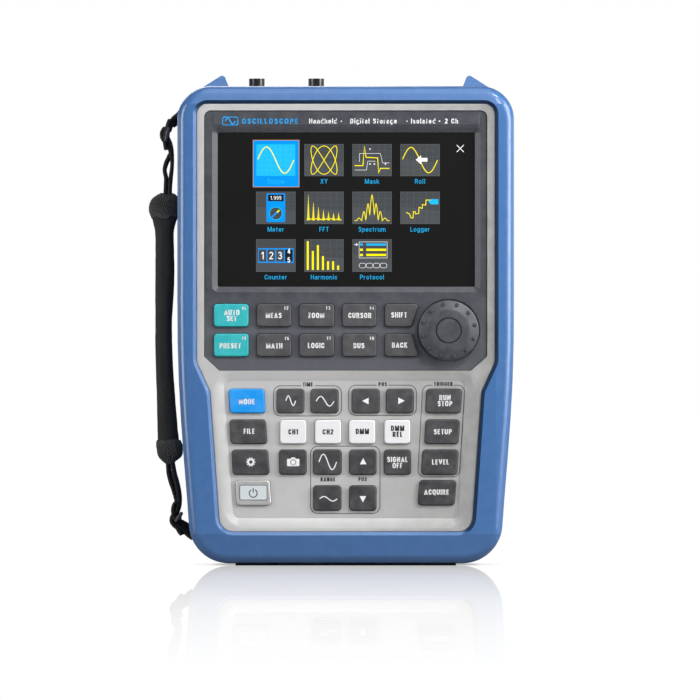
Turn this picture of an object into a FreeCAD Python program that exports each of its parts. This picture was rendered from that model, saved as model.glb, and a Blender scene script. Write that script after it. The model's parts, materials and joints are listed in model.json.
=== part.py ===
import FreeCAD, Part
import math
import os
import Sketcher
from FreeCAD import Vector, Placement, Rotation

# Hand-held oscilloscope. +Z is up, +X is to the right seen from the front, and the
# front faces -Y. The origin is the centre of the resting plane under the feet, at
# mid-depth. A depth named *_front is a distance toward the front: y = -depth.

doc = FreeCAD.newDocument("handheld_oscilloscope")
sheet = doc.addObject("Spreadsheet::Sheet", "dims")
SIDES = ((-1.0, "left"), (1.0, "right"))


class Length:
    """A length with its value and the sheet expression that drives it."""
    def __init__(self, value, expression):
        self.value = float(value)
        self.expression = expression

    def combine(self, sign, other, value):
        return Length(value, "(%s %s %s)" % (self.expression, sign, other.expression))

    def __add__(self, other):
        other = as_length(other)
        return self.combine("+", other, self.value + other.value)

    def __sub__(self, other):
        other = as_length(other)
        return self.combine("-", other, self.value - other.value)

    def __mul__(self, other):
        other = as_length(other)
        return self.combine("*", other, self.value * other.value)

    def __truediv__(self, other):
        other = as_length(other)
        return self.combine("/", other, self.value / other.value)

    def __neg__(self):
        return Length(-self.value, "(0 - %s)" % self.expression)


def as_length(number):
    if isinstance(number, Length):
        return number
    return Length(number, "%.5f" % number if number >= 0 else "(0 - %.5f)" % -number)


sheet_aliases = []


def dim(alias, value, note=""):
    """Adds a driving dimension to the sheet."""
    sheet_aliases.append(alias)
    row = len(sheet_aliases)
    sheet.set("A%d" % row, alias)
    sheet.set("B%d" % row, "%.4f" % value)
    sheet.setAlias("B%d" % row, alias)
    if note:
        sheet.set("C%d" % row, note)
    return Length(value, "dims." + alias)


# ---- driving dimensions ------------------------------------------------------
case_half = dim("case_half_width", 100.75, "half width of the case at the screen")
base_half = dim("base_half_width", 92.2, "half width of the case at its foot")
case_bottom = dim("case_bottom", 1.2, "underside of the case above the table")
case_top = dim("case_top", 286.7, "top edge of the front rim")
rim_front = dim("rim_front", 32.0, "front rim plane")
parting_front = dim("parting_front", -4.0, "parting plane between the two shells")
back_front = dim("back_front", -31.0, "flat rear face of the case")
hump_front = dim("hump_front", -37.0, "outermost rear plane")
wall_front = dim("front_wall_inner", 27.2, "inner face of the front wall")
wall = dim("wall_thickness", 3.0, "shell wall")
foot_radius = dim("foot_corner_radius", 24.0)
top_radius = dim("top_corner_radius", 20.0)
rim_radius = dim("rim_edge_radius", 5.5, "rounding of the front rim's outer edge")
rear_radius = dim("rear_edge_radius", 8.0, "rounding of the rear edge")
window_bevel = dim("window_bevel", 1.95, "bevel of the window in the front rim")
window_half = dim("window_half_width", 89.4)
window_knee_z = dim("window_knee_top", 121.7)
window_low_half = dim("window_low_half", 81.3)
window_low_z = dim("window_low_top", 103.8)
window_foot_half = dim("window_foot_half", 75.5)
window_foot_z = dim("window_foot", 20.0)
window_top_z = dim("window_top", 276.3)
notch_half = dim("notch_half_width", 66.0, "connector bay between the horns")
notch_z = dim("notch_floor", 277.7)
notch_front = dim("notch_front", -5.5)
horn_z = dim("horn_top", 293.9)
bezel_front = dim("bezel_front", 30.0, "front of the light bezel")
bezel_back = dim("bezel_back", 25.2)
field_front = dim("key_field_front", 28.0, "floor of the lower key field")
seat_front = dim("dark_panel_seat", 27.0)
dark_front = dim("dark_panel_front", 29.3)
dark_half = dim("dark_panel_half", 84.6)
dark_top = dim("dark_panel_top", 272.1)
dark_bottom = dim("dark_panel_bottom", 116.6)
key_rise = dim("key_rise", 1.7, "key above its panel")
key_radius = dim("key_corner_radius", 2.0)
key_edge = dim("key_edge_radius", 0.8, "roll along the front edge of a key")
key_gap = dim("key_gap", 0.3, "play around a key")
key_lip = dim("key_lip", 0.8, "retaining lip around a key")
key_back = dim("key_back", 23.8)
knob_x = dim("knob_centre_x", 61.6)
knob_z = dim("knob_centre_z", 140.6)
knob_radius = dim("knob_radius", 18.0)
knob_front = dim("knob_front", 37.0)
knob_back = dim("knob_skirt_back", 30.1)
cap_radius = dim("knob_cap_radius", 7.8)
nub_radius = dim("knob_nub_radius", 1.5)
nub_circle = dim("knob_nub_circle", 15.8, "radius of the circle the nubs stand on")
shaft_radius = dim("encoder_shaft_radius", 3.0)
screen_left = dim("screen_left", -76.6)
screen_right = dim("screen_right", 77.3)
screen_top = dim("screen_top", 259.0)
screen_bottom = dim("screen_bottom", 166.7)
glass_front = dim("glass_front", 26.9)
glass_thickness = dim("glass_thickness", 1.2)
bnc_a_x = dim("bnc_a_x", -53.6)
bnc_b_x = dim("bnc_b_x", -17.8)
bnc_radius = dim("bnc_radius", 4.75)
bnc_top = dim("bnc_top", 292.4)
jack_a_x = dim("meter_jack_a_x", 24.0)
jack_b_x = dim("meter_jack_b_x", 43.0)
jack_radius = dim("meter_jack_outer", 5.5)
jack_bore = dim("meter_jack_bore", 2.0)
jack_top = dim("meter_jack_top", 283.5)
connector_front = dim("connector_front", -17.5)
stand_half = dim("stand_half_width", 74.0)
stand_top = dim("stand_hinge_height", 176.0)
stand_bottom = dim("stand_bottom", 34.0)
stand_bar = dim("stand_bar", 9.0)
stand_thickness = dim("stand_thickness", 5.0)
door_half = dim("battery_door_half", 56.0)
door_top = dim("battery_door_top", 160.0)
door_bottom = dim("battery_door_bottom", 54.0)
flap_bottom = dim("flap_bottom", 150.0)
flap_top = dim("flap_top", 212.0)
grip_left = dim("strap_grip_left", -114.4)
grip_bottom = dim("strap_grip_bottom", 60.1)
grip_top = dim("strap_grip_top", 222.2)
boss_radius = dim("boss_radius", 3.6)
shank_radius = dim("screw_shank_radius", 1.45)
screw_bore = dim("screw_bore_radius", 1.6)
head_radius = dim("screw_head_radius", 2.8)
head_bore = dim("screw_head_bore", 3.2)

rear_seam = parting_front - 0.1     # front edge of the rear shell
inner_top = notch_z - wall          # top of the hollow inside the shells
connector_y = -connector_front
HINGE_Y = 34.0                      # axis of the stand's hinge
HINGE_BORE = 1.55
PIN_RADIUS = 1.5
CASE_SCREWS = [(-80.0, 24.0), (80.0, 24.0), (-93.5, 138.0), (93.5, 138.0),
               (-93.5, 240.0), (93.5, 240.0)]       # x, z
DOOR_SCREWS = [(-48.0, 60.0), (48.0, 60.0)]         # x, z

# Keys: name, x of the left top, right top, right low and left low corners, z of top and low.
UPPER_KEYS = [
    ("key_auto_set", -78.8, -58.1, -58.1, -78.8, 156.4, 142.8),
    ("key_meas", -53.1, -32.5, -32.5, -53.1, 156.4, 142.8),
    ("key_zoom", -27.7, -7.0, -7.0, -27.7, 156.4, 142.8),
    ("key_cursor", -2.0, 18.4, 18.4, -2.0, 156.4, 142.8),
    ("key_shift", 23.5, 43.8, 39.5, 23.5, 156.4, 142.8),
    ("key_preset", -78.8, -58.1, -58.1, -78.8, 138.6, 125.0),
    ("key_math", -53.1, -32.5, -32.5, -53.1, 138.6, 125.0),
    ("key_logic", -27.7, -7.0, -7.0, -27.7, 138.6, 125.0),
    ("key_bus", -2.0, 18.4, 18.4, -2.0, 138.6, 125.0),
    ("key_back", 23.5, 39.3, 43.8, 23.5, 138.6, 125.0),
]
LOWER_KEYS = [
    ("key_mode", -70.0, -48.9, -48.1, -69.0, 105.5, 91.2),
    ("key_time_fine", -41.1, -24.9, -24.9, -41.1, 105.5, 91.2),
    ("key_time_coarse", -20.8, -4.5, -4.5, -20.8, 105.5, 91.2),
    ("key_position_left", 3.8, 20.3, 20.3, 3.8, 105.5, 91.2),
    ("key_position_right", 24.3, 40.5, 40.5, 24.3, 105.5, 91.2),
    ("key_run_stop", 48.7, 69.7, 68.5, 47.7, 105.5, 91.2),
    ("key_file", -69.4, -48.0, -46.9, -68.6, 87.1, 72.8),
    ("key_ch1", -39.3, -23.6, -23.6, -39.3, 87.1, 72.8),
    ("key_ch2", -18.4, -2.8, -2.8, -18.4, 87.1, 72.8),
    ("key_dmm", 2.0, 17.7, 17.7, 2.0, 87.1, 72.8),
    ("key_dmm_rel", 23.1, 38.6, 38.6, 23.1, 87.1, 72.8),
    ("key_setup", 48.2, 68.2, 67.3, 47.1, 87.1, 72.8),
    ("key_settings", -68.1, -46.6, -45.6, -67.3, 69.1, 54.4),
    ("key_camera", -39.7, -23.6, -23.6, -39.7, 69.1, 54.4),
    ("key_range_up", -19.3, -2.6, -2.6, -19.3, 69.1, 54.4),
    ("key_position_up", 2.3, 18.2, 18.2, 2.3, 69.1, 54.4),
    ("key_signal_off", 23.0, 38.9, 38.9, 23.0, 69.1, 54.4),
    ("key_level", 46.2, 67.4, 66.4, 45.3, 69.1, 54.4),
    ("key_power", -66.1, -45.5, -44.6, -65.1, 50.9, 36.0),
    ("key_range_down", -19.3, -2.8, -2.8, -19.3, 47.7, 32.9),
    ("key_position_down", 2.3, 18.2, 18.2, 2.3, 47.7, 32.9),
    ("key_acquire", 44.3, 66.0, 64.9, 43.2, 50.9, 36.1),
]
KEY_FIELDS = ("_left_top", "_right_top", "_right_low", "_left_low", "_top", "_low")
key_dims = {}
for key_name, *measures in UPPER_KEYS + LOWER_KEYS:
    key_dims[key_name] = [dim(key_name + field, measure)
                          for field, measure in zip(KEY_FIELDS, measures)]
doc.recompute()


# ---- sketches and features ---------------------------------------------------
pieces = {}     # exported objects by name


def new_body(name, exported=True):
    body = doc.addObject("PartDesign::Body", name)
    body.Label = name
    if exported:
        pieces[name] = body
    return body


def bind(obj, prop, length):
    length = as_length(length)
    if "dims." in length.expression:
        obj.setExpression(prop, length.expression)


def set_length(obj, prop, length):
    setattr(obj, prop, as_length(length).value)
    bind(obj, prop, length)


def constrain(sketch, constraints, first, lengths):
    """Adds constraints; those from index first on are driven by the lengths in turn."""
    start = len(sketch.Constraints) + first
    sketch.addConstraint(constraints)
    for i, length in enumerate(lengths):
        bind(sketch, "Constraints[%d]" % (start + i), length)


def draw_polygon(sketch, points):
    points = [(as_length(u), as_length(v)) for u, v in points]
    base = len(sketch.Geometry)
    count = len(points)
    corners = [Vector(u.value, v.value, 0) for u, v in points]
    sketch.addGeometry([Part.LineSegment(corners[i], corners[(i + 1) % count])
                        for i in range(count)], False)
    constraints = [Sketcher.Constraint("Coincident", base + i, 2, base + (i + 1) % count, 1)
                   for i in range(count)]
    for i, (u, v) in enumerate(points):
        constraints.append(Sketcher.Constraint("DistanceX", base + i, 1, u.value))
        constraints.append(Sketcher.Constraint("DistanceY", base + i, 1, v.value))
    constrain(sketch, constraints, count, [length for point in points for length in point])


def draw_circle(sketch, u, v, radius):
    u, v, radius = as_length(u), as_length(v), as_length(radius)
    base = len(sketch.Geometry)
    centre = Vector(u.value, v.value, 0)
    sketch.addGeometry([Part.Circle(centre, Vector(0, 0, 1), radius.value)], False)
    constraints = [Sketcher.Constraint("DistanceX", base, 3, u.value),
                   Sketcher.Constraint("DistanceY", base, 3, v.value),
                   Sketcher.Constraint("Radius", base, radius.value)]
    constrain(sketch, constraints, 0, (u, v, radius))


def add_sketch(body, name, start, polys=(), circles=(), plane="XZ_Plane"):
    """A sketch on one of the body's origin planes, moved by start along its normal.

    The normals point to the front (XZ), to the right (YZ) and up (XY).
    """
    support = next(f for f in body.Origin.OriginFeatures if f.Role == plane)
    sketch = body.newObject("Sketcher::SketchObject", name)
    sketch.AttachmentSupport = [(support, "")]
    sketch.MapMode = "FlatFace"
    sketch.AttachmentOffset = Placement(Vector(0, 0, as_length(start).value), Rotation())
    bind(sketch, "AttachmentOffset.Base.z", start)
    for points in polys:
        draw_polygon(sketch, points)
    for u, v, radius in circles:
        draw_circle(sketch, u, v, radius)
    return sketch


def volume(body):
    return 0.0 if body.Shape.isNull() else body.Shape.Volume


def extrude(kind, body, name, start, length, reverse, profile):
    sketch = add_sketch(body, name + "_sketch", start, **profile)
    before = volume(body)
    feature = body.newObject("PartDesign::" + kind, name)
    feature.Profile = sketch
    set_length(feature, "Length", length)
    feature.Reversed = reverse
    sketch.Visibility = False
    doc.recompute()
    growth = volume(body) - before
    if (growth if kind == "Pad" else -growth) <= 1e-6:
        raise RuntimeError("%s changed nothing: %s" % (kind, name))
    return feature


def pad(body, name, start, length, back=False, **profile):
    """Pads along the plane's normal (toward the front on XZ), or against it with back."""
    return extrude("Pad", body, name, start, length, back, profile)


def pocket(body, name, start, length, front=False, **profile):
    """Cuts against the plane's normal (toward the back on XZ), or along it with front."""
    return extrude("Pocket", body, name, start, length, front, profile)


def has_error(obj):
    return "Invalid" in obj.State or "Error" in obj.State


def dress_up(body, kind, name, edges):
    if not edges:
        raise RuntimeError("no edges for " + name)
    base = body.Tip
    feature = body.newObject("PartDesign::" + kind, name)
    feature.Base = (base, edges)
    return feature


def require_shape(feature):
    if has_error(feature) or feature.Shape.isNull():
        raise RuntimeError("failed dress-up: " + feature.Name)


def fillet(body, name, edges, radius):
    feature = dress_up(body, "Fillet", name, edges)
    set_length(feature, "Radius", radius)
    doc.recompute()
    require_shape(feature)


def chamfer(body, name, edges, size, size2=None):
    feature = dress_up(body, "Chamfer", name, edges)
    if size2 is not None:
        feature.ChamferType = "Two distances"
        feature.Size2 = size2
    set_length(feature, "Size", size)
    doc.recompute()
    # Which face takes which distance depends on their order: if one way fails, use the other.
    if size2 is not None and (has_error(feature) or feature.Shape.isNull()):
        feature.FlipDirection = True
        doc.recompute()
    require_shape(feature)


def plane_edges(body, *fronts, x=(-1000.0, 1000.0), z=(-1000.0, 1000.0)):
    """Names of the edges that lie at one of the depths, within the x and z limits."""
    depths = [as_length(front).value for front in fronts]
    x_low, x_high, z_low, z_high = (as_length(limit).value for limit in (*x, *z))
    names = []
    for i, edge in enumerate(body.Tip.Shape.Edges):
        box = edge.BoundBox
        flat = any(abs(box.YMin + depth) < 1e-3 and abs(box.YMax + depth) < 1e-3
                   for depth in depths)
        inside_x = box.XMin > x_low and box.XMax < x_high
        if flat and inside_x and box.ZMin > z_low and box.ZMax < z_high:
            names.append("Edge%d" % (i + 1))
    return names


def depth_edges(body):
    """Name, x and z of every straight edge that runs from front to back."""
    found = []
    for i, edge in enumerate(body.Tip.Shape.Edges):
        if len(edge.Vertexes) != 2 or edge.Curve.TypeId != "Part::GeomLine":
            continue
        a, b = edge.Vertexes[0].Point, edge.Vertexes[1].Point
        if abs(a.x - b.x) <= 1e-4 and abs(a.z - b.z) <= 1e-4:
            found.append(("Edge%d" % (i + 1), a.x, a.z))
    return found


def round_corners(body, name, points, radius):
    """Rounds the front-to-back edges that stand at the points."""
    candidates = depth_edges(body)
    near = 0.6
    names = []
    for x, z in points:
        corner_x, corner_z = as_length(x).value, as_length(z).value
        names += [edge for edge, edge_x, edge_z in candidates
                  if abs(edge_x - corner_x) < near and abs(edge_z - corner_z) < near]
    fillet(body, name, names, radius)


def round_all_corners(body, name, radius):
    fillet(body, name, [edge for edge, _, _ in depth_edges(body)], radius)


# ---- primitives and booleans -------------------------------------------------
AXIS_ROTATIONS = {"x": Rotation(Vector(0, 1, 0), 90), "y": Rotation(Vector(1, 0, 0), -90),
                  "z": Rotation()}


def place(obj, x, y, z, axis="z"):
    base = Vector(as_length(x).value, as_length(y).value, as_length(z).value)
    obj.Placement = Placement(base, AXIS_ROTATIONS[axis])
    for coordinate, length in (("x", x), ("y", y), ("z", z)):
        bind(obj, "Placement.Base." + coordinate, length)


def cylinder(name, x, y, z, radius, length, axis="z"):
    obj = doc.addObject("Part::Cylinder", name)
    set_length(obj, "Radius", radius)
    set_length(obj, "Height", length)
    place(obj, x, y, z, axis)
    return obj


def box(name, x, y, z, x_size, y_size, z_size):
    obj = doc.addObject("Part::Box", name)
    for prop, size in (("Length", x_size), ("Width", y_size), ("Height", z_size)):
        set_length(obj, prop, size)
    place(obj, x, y, z)
    return obj


def fuse(name, objs):
    obj = doc.addObject("Part::MultiFuse", name)
    obj.Shapes = objs
    return obj


def cut(name, base, tool):
    obj = doc.addObject("Part::Cut", name)
    obj.Base = base
    obj.Tool = tool
    return obj


def group(name, objs):
    """Exports several objects as one piece."""
    obj = doc.addObject("Part::Compound", name)
    obj.Links = objs
    obj.Label = name
    pieces[name] = obj


def low_x(side, inner, length):
    """Lower x of a span that begins at inner on the right side, or its mirror image."""
    return inner if side > 0 else -inner - length


# ---- outlines ----------------------------------------------------------------
def rect(x0, x1, z0, z1):
    return [(x0, z0), (x1, z0), (x1, z1), (x0, z1)]


def mirror(right):
    return [(-x, z) for x, z in reversed(right)]


def symmetric(right):
    """Closed outline from its right half, foot to top; it starts at the left foot."""
    left = mirror(right)
    return left[-1:] + right + left[:-1]


# Case flank, foot to top: distance inside case_half, z.
FLANK = [(5.85, 39.0), (3.9, 63.0), (2.15, 87.0), (0.85, 110.5), (0.15, 134.0), (0.0, 160.0)]


def flank(inset):
    return [(case_half - narrowing - inset, z) for narrowing, z in FLANK]


def case_outline():
    return symmetric([(base_half, case_bottom)] + flank(0.0) + [(case_half, case_top)])


def cavity_outline():
    """The hollow inside the shells: one wall in, with its corners cut in short steps."""
    centre_x = base_half - foot_radius
    centre_z = case_bottom + foot_radius
    radius = foot_radius - wall
    foot = [(centre_x + radius * math.sin(math.radians(angle)),
             centre_z - radius * math.cos(math.radians(angle)))
            for angle in (8.0, 30.0, 50.0, 70.0)]
    top = [(case_half - wall, 258.0), (case_half - wall - 2.4, 267.0),
           (case_half - wall - 6.6, 272.4), (case_half - wall - 11.0, inner_top)]
    side = foot + flank(wall) + top
    return side + mirror(side)


def window_outline(inset):
    """The window in the front rim, drawn in by inset; the knee moves up by 0.4 of it."""
    knee_shift = inset * 0.4
    return symmetric([(window_foot_half - inset, window_foot_z + inset),
                      (window_low_half - inset, window_low_z + knee_shift),
                      (window_half - inset, window_knee_z + knee_shift),
                      (window_half - inset, window_top_z - inset)])


def round_window(body, tag, outline, low_radius, top_radius):
    low_left, low_right, *sides = outline
    round_corners(body, tag + "_foot_round", [low_left, low_right], low_radius)
    round_corners(body, tag + "_knee_round", sides[:2] + sides[4:], low_radius)
    round_corners(body, tag + "_top_round", sides[2:4], top_radius)


def screen_rect(grow):
    return rect(screen_left - grow, screen_right + grow, screen_bottom - grow, screen_top + grow)


def bay_rect(grow):
    """The battery bay's opening behind the door, grown on all sides."""
    half = door_half - 3.0 + grow
    return rect(-half, half, door_bottom + 11.0 - grow, door_top - 3.0 + grow)


def key_outline(name, grow):
    left_top, right_top, right_low, left_low, top, low = key_dims[name]
    return [(left_low - grow, low - grow), (right_low + grow, low - grow),
            (right_top + grow, top + grow), (left_top - grow, top + grow)]


def cut_key_holes(body, tag, keys, start, depth, circles=()):
    holes = [key_outline(key[0], key_gap) for key in keys]
    pocket(body, tag + "_key_holes", start, depth, polys=holes, circles=circles)
    corners = [corner for hole in holes for corner in hole]
    round_corners(body, tag + "_key_hole_round", corners, key_radius + key_gap)


def circles_at(places, radius):
    return [(x, z, radius) for x, z in places]


# ---- shells ------------------------------------------------------------------
def case_block(body, tag, start, face_front, edge_radius, back):
    """Solid block of a shell with rounded corners and a rounded outer edge."""
    length = start - face_front if back else face_front - start
    pad(body, tag + "_block", start, length, back=back, polys=[case_outline()])
    foot = [(-base_half, case_bottom), (base_half, case_bottom)]
    round_corners(body, tag + "_foot_round", foot, foot_radius)
    top = [(-case_half, case_top), (case_half, case_top)]
    round_corners(body, tag + "_top_round", top, top_radius)
    fillet(body, tag + "_edge_round", plane_edges(body, face_front), edge_radius)


def screw_holes(body, tag, places, head_depth, bore_depth):
    """Pockets for screw heads and bores for their shanks, from the outermost rear plane."""
    pocket(body, tag + "_head_pockets", hump_front, head_depth, front=True,
           circles=circles_at(places, head_bore))
    pocket(body, tag + "_bores", hump_front, bore_depth, front=True,
           circles=circles_at(places, screw_bore))


def build_front_housing():
    body = new_body("front_housing")
    case_block(body, "front", parting_front, rim_front, rim_radius, back=False)
    pocket(body, "front_hollow", parting_front, wall_front - parting_front, front=True,
           polys=[cavity_outline()])

    boss_front = wall_front + 0.5       # sunk into the front wall
    boss_back = parting_front + 0.2
    pad(body, "front_bosses", boss_front, boss_front - boss_back, back=True,
        circles=circles_at(CASE_SCREWS, boss_radius))
    pocket(body, "front_boss_holes", boss_back, 16.0, front=True,
           circles=circles_at(CASE_SCREWS, screw_bore))

    window = window_outline(0.0)
    pocket(body, "front_window", rim_front, rim_front - wall_front + 3.0, polys=[window])
    round_window(body, "window", window, low_radius=9.0, top_radius=6.5)
    rim = plane_edges(body, rim_front, x=(-window_half - 0.2, window_half + 0.2),
                      z=(window_foot_z - 0.2, window_top_z + 0.2))
    chamfer(body, "window_bevel_cut", rim, window_bevel)

    # rebate behind the rim for the light bezel's flange
    rebate_back = bezel_back - 0.5
    pocket(body, "front_rebate", rebate_back, wall_front - rebate_back, front=True,
           polys=[window_outline(-3.3)])

    # slots in the left side for the hand strap's webbing
    slots = {"upper": [(-99.0, 262.0), (-102.5, 262.0), (-100.5, 275.0), (-97.4, 275.0)],
             "lower": [(-89.6, 9.0), (-93.4, 9.0), (-94.8, 20.0), (-91.4, 20.0)]}
    for tag, slot in slots.items():
        pocket(body, "strap_slot_" + tag, -2.0, 12.4, front=True, polys=[slot])


# Rear face of the case, right side: x, z.
LOW_BUMPER = [(60.0, 12.0), (78.0, 12.0), (87.0, 24.0), (88.5, 40.0), (79.0, 46.0),
              (74.0, 30.0), (60.0, 26.0)]
HIGH_BUMPER = [(60.0, 268.0), (82.0, 268.0), (91.5, 256.0), (91.5, 236.0), (81.0, 236.0),
               (77.0, 254.0), (60.0, 256.0)]
# Right horn beside the connector bay: x, z.
HORN = [(66.5, notch_z), (70.15, 286.7), (72.7, 293.1), (74.0, horn_z), (75.4, 293.6),
        (89.4, 284.7), (92.0, 282.6), (84.0, 268.0), (66.5, 272.0)]


def on_side(side, points):
    return [(side * x, other) for x, other in points]


def build_rear_housing():
    body = new_body("rear_housing")
    case_block(body, "rear", rear_seam, back_front, rear_radius, back=True)
    bay = [(-notch_half, notch_z), (notch_half, notch_z),
           (notch_half + 4.6, 290.0), (-notch_half - 4.6, 290.0)]
    pocket(body, "connector_bay", notch_front, 40.0, polys=[bay])
    for side, tag in SIDES:
        pad(body, "horn_" + tag, rear_seam, 20.0, back=True, polys=[on_side(side, HORN)])
    pocket(body, "rear_hollow", rear_seam, rear_seam - back_front - wall,
           polys=[cavity_outline()])
    boss_back = back_front + 1.5        # sunk into the rear wall
    pad(body, "rear_bosses", boss_back, parting_front - 0.2 - boss_back,
        circles=circles_at(CASE_SCREWS, boss_radius + 1.2))

    # corner bumpers round the screw heads, sunk into the rear wall
    sunk_front = back_front + 0.5
    hump = sunk_front - hump_front
    bumpers = [on_side(side, outline) for side, _ in SIDES
               for outline in (LOW_BUMPER, HIGH_BUMPER)]
    pad(body, "bumpers", sunk_front, hump, back=True, polys=bumpers)
    fillet(body, "bumper_round", plane_edges(body, hump_front), 1.6)
    screw_holes(body, "rear", CASE_SCREWS, head_depth=9.5, bore_depth=40.0)

    # battery bay: the wall round it and its opening
    pad(body, "bay_wall", back_front + 1.0, 17.0, polys=[bay_rect(2.0), bay_rect(0.0)])
    pocket(body, "bay_opening", back_front, 6.0, front=True, polys=[bay_rect(0.0)])
    pocket(body, "door_screw_holes", back_front, 5.0, front=True,
           circles=circles_at(DOOR_SCREWS, screw_bore))

    # lugs that carry the stand's hinge pins
    lugs = [rect(side * 50.0, side * 62.0, stand_top - 5.0, stand_top + 5.0)
            for side, _ in SIDES]
    pad(body, "stand_lugs", sunk_front, hump, back=True, polys=lugs)
    pocket(body, "stand_lug_holes", -62.5, 125.5, front=True, plane="YZ_Plane",
           circles=[(HINGE_Y, stand_top, HINGE_BORE)])

    # connector holes through the floor of the connector bay
    play = 0.2
    holes = [(x, connector_y, bnc_radius + play) for x in (bnc_a_x, bnc_b_x)]
    holes += [(x, connector_y, jack_radius + play) for x in (jack_a_x, jack_b_x)]
    pocket(body, "connector_holes", notch_z + 1.0, 6.0, plane="XY_Plane", circles=holes)
    # side openings behind the two flaps
    pocket(body, "side_openings", -110.0, 220.0, front=True, plane="YZ_Plane",
           polys=[rect(6.7, 22.1, flap_bottom - 0.3, flap_top + 0.3)])


# ---- front panels ------------------------------------------------------------
# Floor of the lower key field and dark panel: x, z from the low left corner, anticlockwise.
KEY_FIELD = [(-67.2, 28.1), (67.0, 28.1), (71.6, 110.9), (-73.2, 110.9)]
DARK_PANEL = [(-75.5, dark_bottom), (74.9, dark_bottom), (dark_half, 125.2),
              (dark_half, dark_top), (-dark_half, dark_top), (-dark_half, 125.0)]
DARK_SEAT = [(-75.6, dark_bottom - 0.1), (75.0, dark_bottom - 0.1), (dark_half + 0.1, 125.1),
             (dark_half + 0.1, dark_top + 0.1), (-dark_half - 0.1, dark_top + 0.1),
             (-dark_half - 0.1, 124.9)]


def build_control_bezel():
    """Light bezel with the lower key field and the seat of the dark panel."""
    body = new_body("control_bezel")
    outline = window_outline(0.15)
    pad(body, "bezel_block", bezel_back, bezel_front - bezel_back, polys=[outline])
    round_window(body, "bezel", outline, low_radius=8.8, top_radius=6.3)
    fillet(body, "bezel_lip", plane_edges(body, bezel_front), 0.6)
    pad(body, "bezel_flange", bezel_back, wall_front - 0.2 - bezel_back,
        polys=[window_outline(-3.0)])

    pocket(body, "key_field", bezel_front, bezel_front - field_front, polys=[KEY_FIELD])
    round_corners(body, "key_field_round", KEY_FIELD, 4.0)
    field_rim = plane_edges(body, bezel_front, x=(-74.5, 74.5), z=(27.0, 112.0))
    chamfer(body, "key_field_slope", field_rim, size=1.8, size2=5.2)

    pocket(body, "dark_seat", bezel_front, bezel_front - seat_front, polys=[DARK_SEAT])
    round_corners(body, "dark_seat_top_round", DARK_SEAT[3:5], 4.0)
    ledge = 2.6
    opening = rect(-dark_half + ledge, dark_half - ledge, 121.0, dark_top - ledge)
    pocket(body, "dark_opening", seat_front + 0.5, 8.0, polys=[opening])
    cut_key_holes(body, "lower", LOWER_KEYS, bezel_front, 12.0)


def build_display_bezel():
    """Dark panel round the screen, the upper keys and the knob."""
    body = new_body("display_bezel")
    panel_back = seat_front + 0.05
    pad(body, "panel_block", panel_back, dark_front - panel_back, polys=[DARK_PANEL])
    round_corners(body, "panel_top_round", DARK_PANEL[3:5], 3.9)
    round_corners(body, "panel_low_round", DARK_PANEL[:3] + DARK_PANEL[5:], 1.5)
    chamfer(body, "panel_edge", plane_edges(body, dark_front), 0.35)

    pocket(body, "screen_window", dark_front, 6.0, polys=[screen_rect(0.0)])
    round_corners(body, "screen_round", screen_rect(0.0), 0.8)
    screen_rim = plane_edges(body, dark_front, x=(screen_left - 0.1, screen_right + 0.1),
                             z=(screen_bottom - 0.1, screen_top + 0.1))
    chamfer(body, "screen_bevel", screen_rim, size=2.0, size2=3.3)

    # raised strip above the screen
    strip_front = dark_front + 0.4
    strip_back = dark_front - 0.5
    pad(body, "header_strip", strip_back, strip_front - strip_back,
        polys=[rect(-79.6, 79.9, 262.9, 270.3)])
    chamfer(body, "header_edge", plane_edges(body, strip_front), 0.35)

    cut_key_holes(body, "upper", UPPER_KEYS, dark_front + 1.0, 6.0,
                  circles=[(knob_x, knob_z, 6.8)])
    groove = [(knob_x, knob_z, knob_radius + 0.9), (knob_x, knob_z, knob_radius - 0.4)]
    pocket(body, "knob_ring_groove", dark_front, 0.8, circles=groove)


def build_key(name, panel_front, panel_back):
    """A key standing above its panel, with a lip that stays behind the panel."""
    body = new_body(name)
    outline = key_outline(name, 0.0)
    face_front = panel_front + key_rise
    pad(body, name + "_cap", key_back, face_front - key_back, polys=[outline])
    round_corners(body, name + "_round", outline, key_radius)
    fillet(body, name + "_edge", plane_edges(body, face_front), key_edge)
    pad(body, name + "_lip", key_back, panel_back - 0.3 - key_back,
        polys=[key_outline(name, key_lip)])


def build_keys():
    for keys, panel_front, panel_back in ((UPPER_KEYS, dark_front, seat_front),
                                          (LOWER_KEYS, field_front, bezel_back)):
        for key in keys:
            build_key(key[0], panel_front, panel_back)


# ---- screen and boards -------------------------------------------------------
def build_screen():
    glass = new_body("touch_glass")
    glass_back = glass_front - glass_thickness
    pad(glass, "glass_sheet", glass_back, glass_thickness, polys=[screen_rect(3.0)])
    lcd = new_body("lcd_module")
    lcd_back = 19.5
    pad(lcd, "lcd_block", lcd_back, glass_back - 0.15 - lcd_back, polys=[screen_rect(2.6)])
    chamfer(lcd, "lcd_frame_edge", plane_edges(lcd, lcd_back), 0.8)


# Shared outline of the key mat and its board: x, z.
MAT = [(-76.0, 26.0), (74.0, 26.0), (76.0, 108.0), (80.5, 124.0), (80.5, 158.5),
       (-80.5, 158.5), (-80.5, 124.0), (-78.0, 108.0)]


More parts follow.
